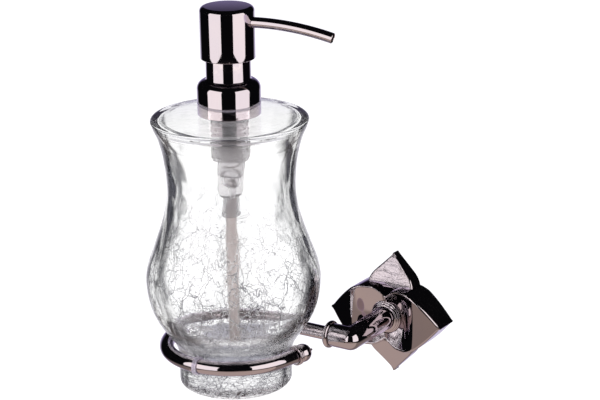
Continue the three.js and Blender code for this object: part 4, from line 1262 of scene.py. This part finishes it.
def build_world():
    """A white room for direct and transmitted light; a dark studio with a backdrop in mirrors."""
    world = bpy.data.worlds.new("Studio")
    bpy.context.scene.world = world
    world.use_nodes = True
    tree = world.node_tree
    tree.nodes.clear()
    direction = put(tree, "TexCoord").outputs["Generated"]
    upward = upward_part(tree, direction)
    low = blended(tree, ramped(tree, upward, -0.75, -0.62), ROOM_BELOW, ROOM_WHITE)
    room = blended(tree, ramped(tree, upward, 0.42, 0.62), low, ROOM_CEILING)
    behind = -around(CAMERA_AZIMUTH, CAMERA_PITCH)
    toward_backdrop = vector_maths(tree, "DOT_PRODUCT", {0: direction, 1: behind}, "Value")
    glow = ramped(tree, toward_backdrop, 0.78, 0.94)
    backdrop = blended(tree, ramped(tree, upward, -0.12, 0.06), MIRROR_SWEEP, MIRROR_BACKDROP)
    dark = blended(tree, ramped(tree, upward, -0.55, -0.38), MIRROR_TABLE, MIRROR_DARK)
    mirrored = blended(tree, glow, dark, backdrop)
    path = put(tree, "LightPath")
    reflected = maths(tree, "GREATER_THAN", path.outputs["Glossy Depth"], 0.5)
    outside_glass = maths(tree, "LESS_THAN", path.outputs["Transmission Depth"], 0.5)
    forward = ramped(tree, toward_backdrop, -0.35, -0.05, 1.0, 0.0)
    in_mirror = times(tree, reflected, maths(tree, "MAXIMUM", outside_glass, forward))
    background = put(tree, "Background",
                     {"Color": blended(tree, in_mirror, room, mirrored), "Strength": 1.0})
    output = put(tree, "OutputWorld")
    feed(tree, output, Surface=background.outputs[0])


def build_floor():
    """A pale floor well below the dispenser; the room alone shows in metal and through glass."""
    material = new_finish("Pale floor", Base_Color=(0.80, 0.80, 0.80, 1), Roughness=0.9,
                          Emission_Color=(1, 1, 1, 1), Emission_Strength=0.4)[0]
    half = FLOOR_SIZE / 2
    mesh = bpy.data.meshes.new("floor")
    floor_corners = [(-half, -half, 0), (half, -half, 0), (half, half, 0), (-half, half, 0)]
    mesh.from_pydata(floor_corners, [], [(0, 1, 2, 3)])
    mesh.materials.append(material)
    floor = bpy.data.objects.new("floor", mesh)
    floor.location.z = -FLOOR_DEPTH
    floor.visible_glossy = False
    floor.visible_diffuse = False
    floor.visible_transmission = False
    bpy.context.scene.collection.objects.link(floor)


def build_studio():
    """Two tall softboxes, a warm glow from below, the room, the floor and the camera."""
    middle = BOTTLE_AXIS * MM + UP * SOFTBOX_CENTRE
    for name, side in (("Left softbox", -1), ("Right softbox", 1)):
        outward = around(CAMERA_AZIMUTH + side * SOFTBOX_SPREAD)
        place = middle + outward * SOFTBOX_DISTANCE
        build_light(name, place, middle, SOFTBOX_WIDTH, SOFTBOX_HEIGHT,
                    SOFTBOX_POWER, SOFTBOX_COLOUR)
    below = BOTTLE_AXIS * MM + around(CAMERA_AZIMUTH) * TABLE_AHEAD - UP * TABLE_DEPTH
    table = build_light("Table glow", below, below + UP, TABLE_SIZE, TABLE_SIZE, TABLE_POWER, TABLE_COLOUR)
    table.visible_transmission = False
    build_world()
    build_floor()
    build_camera()
    scene = bpy.context.scene
    scene.view_settings.view_transform = "Standard"
    scene.cycles.max_bounces = 24
    scene.cycles.glossy_bounces = 16
    scene.cycles.transmission_bounces = 24


# -------- making
build_rosette()
build_flange()
build_arm()
build_ring()
build_finial()
build_cushions()
build_bottle()
build_insert()
build_pump()
build_closure()
build_head()
build_spout()
build_inner_pieces()
build_studio()
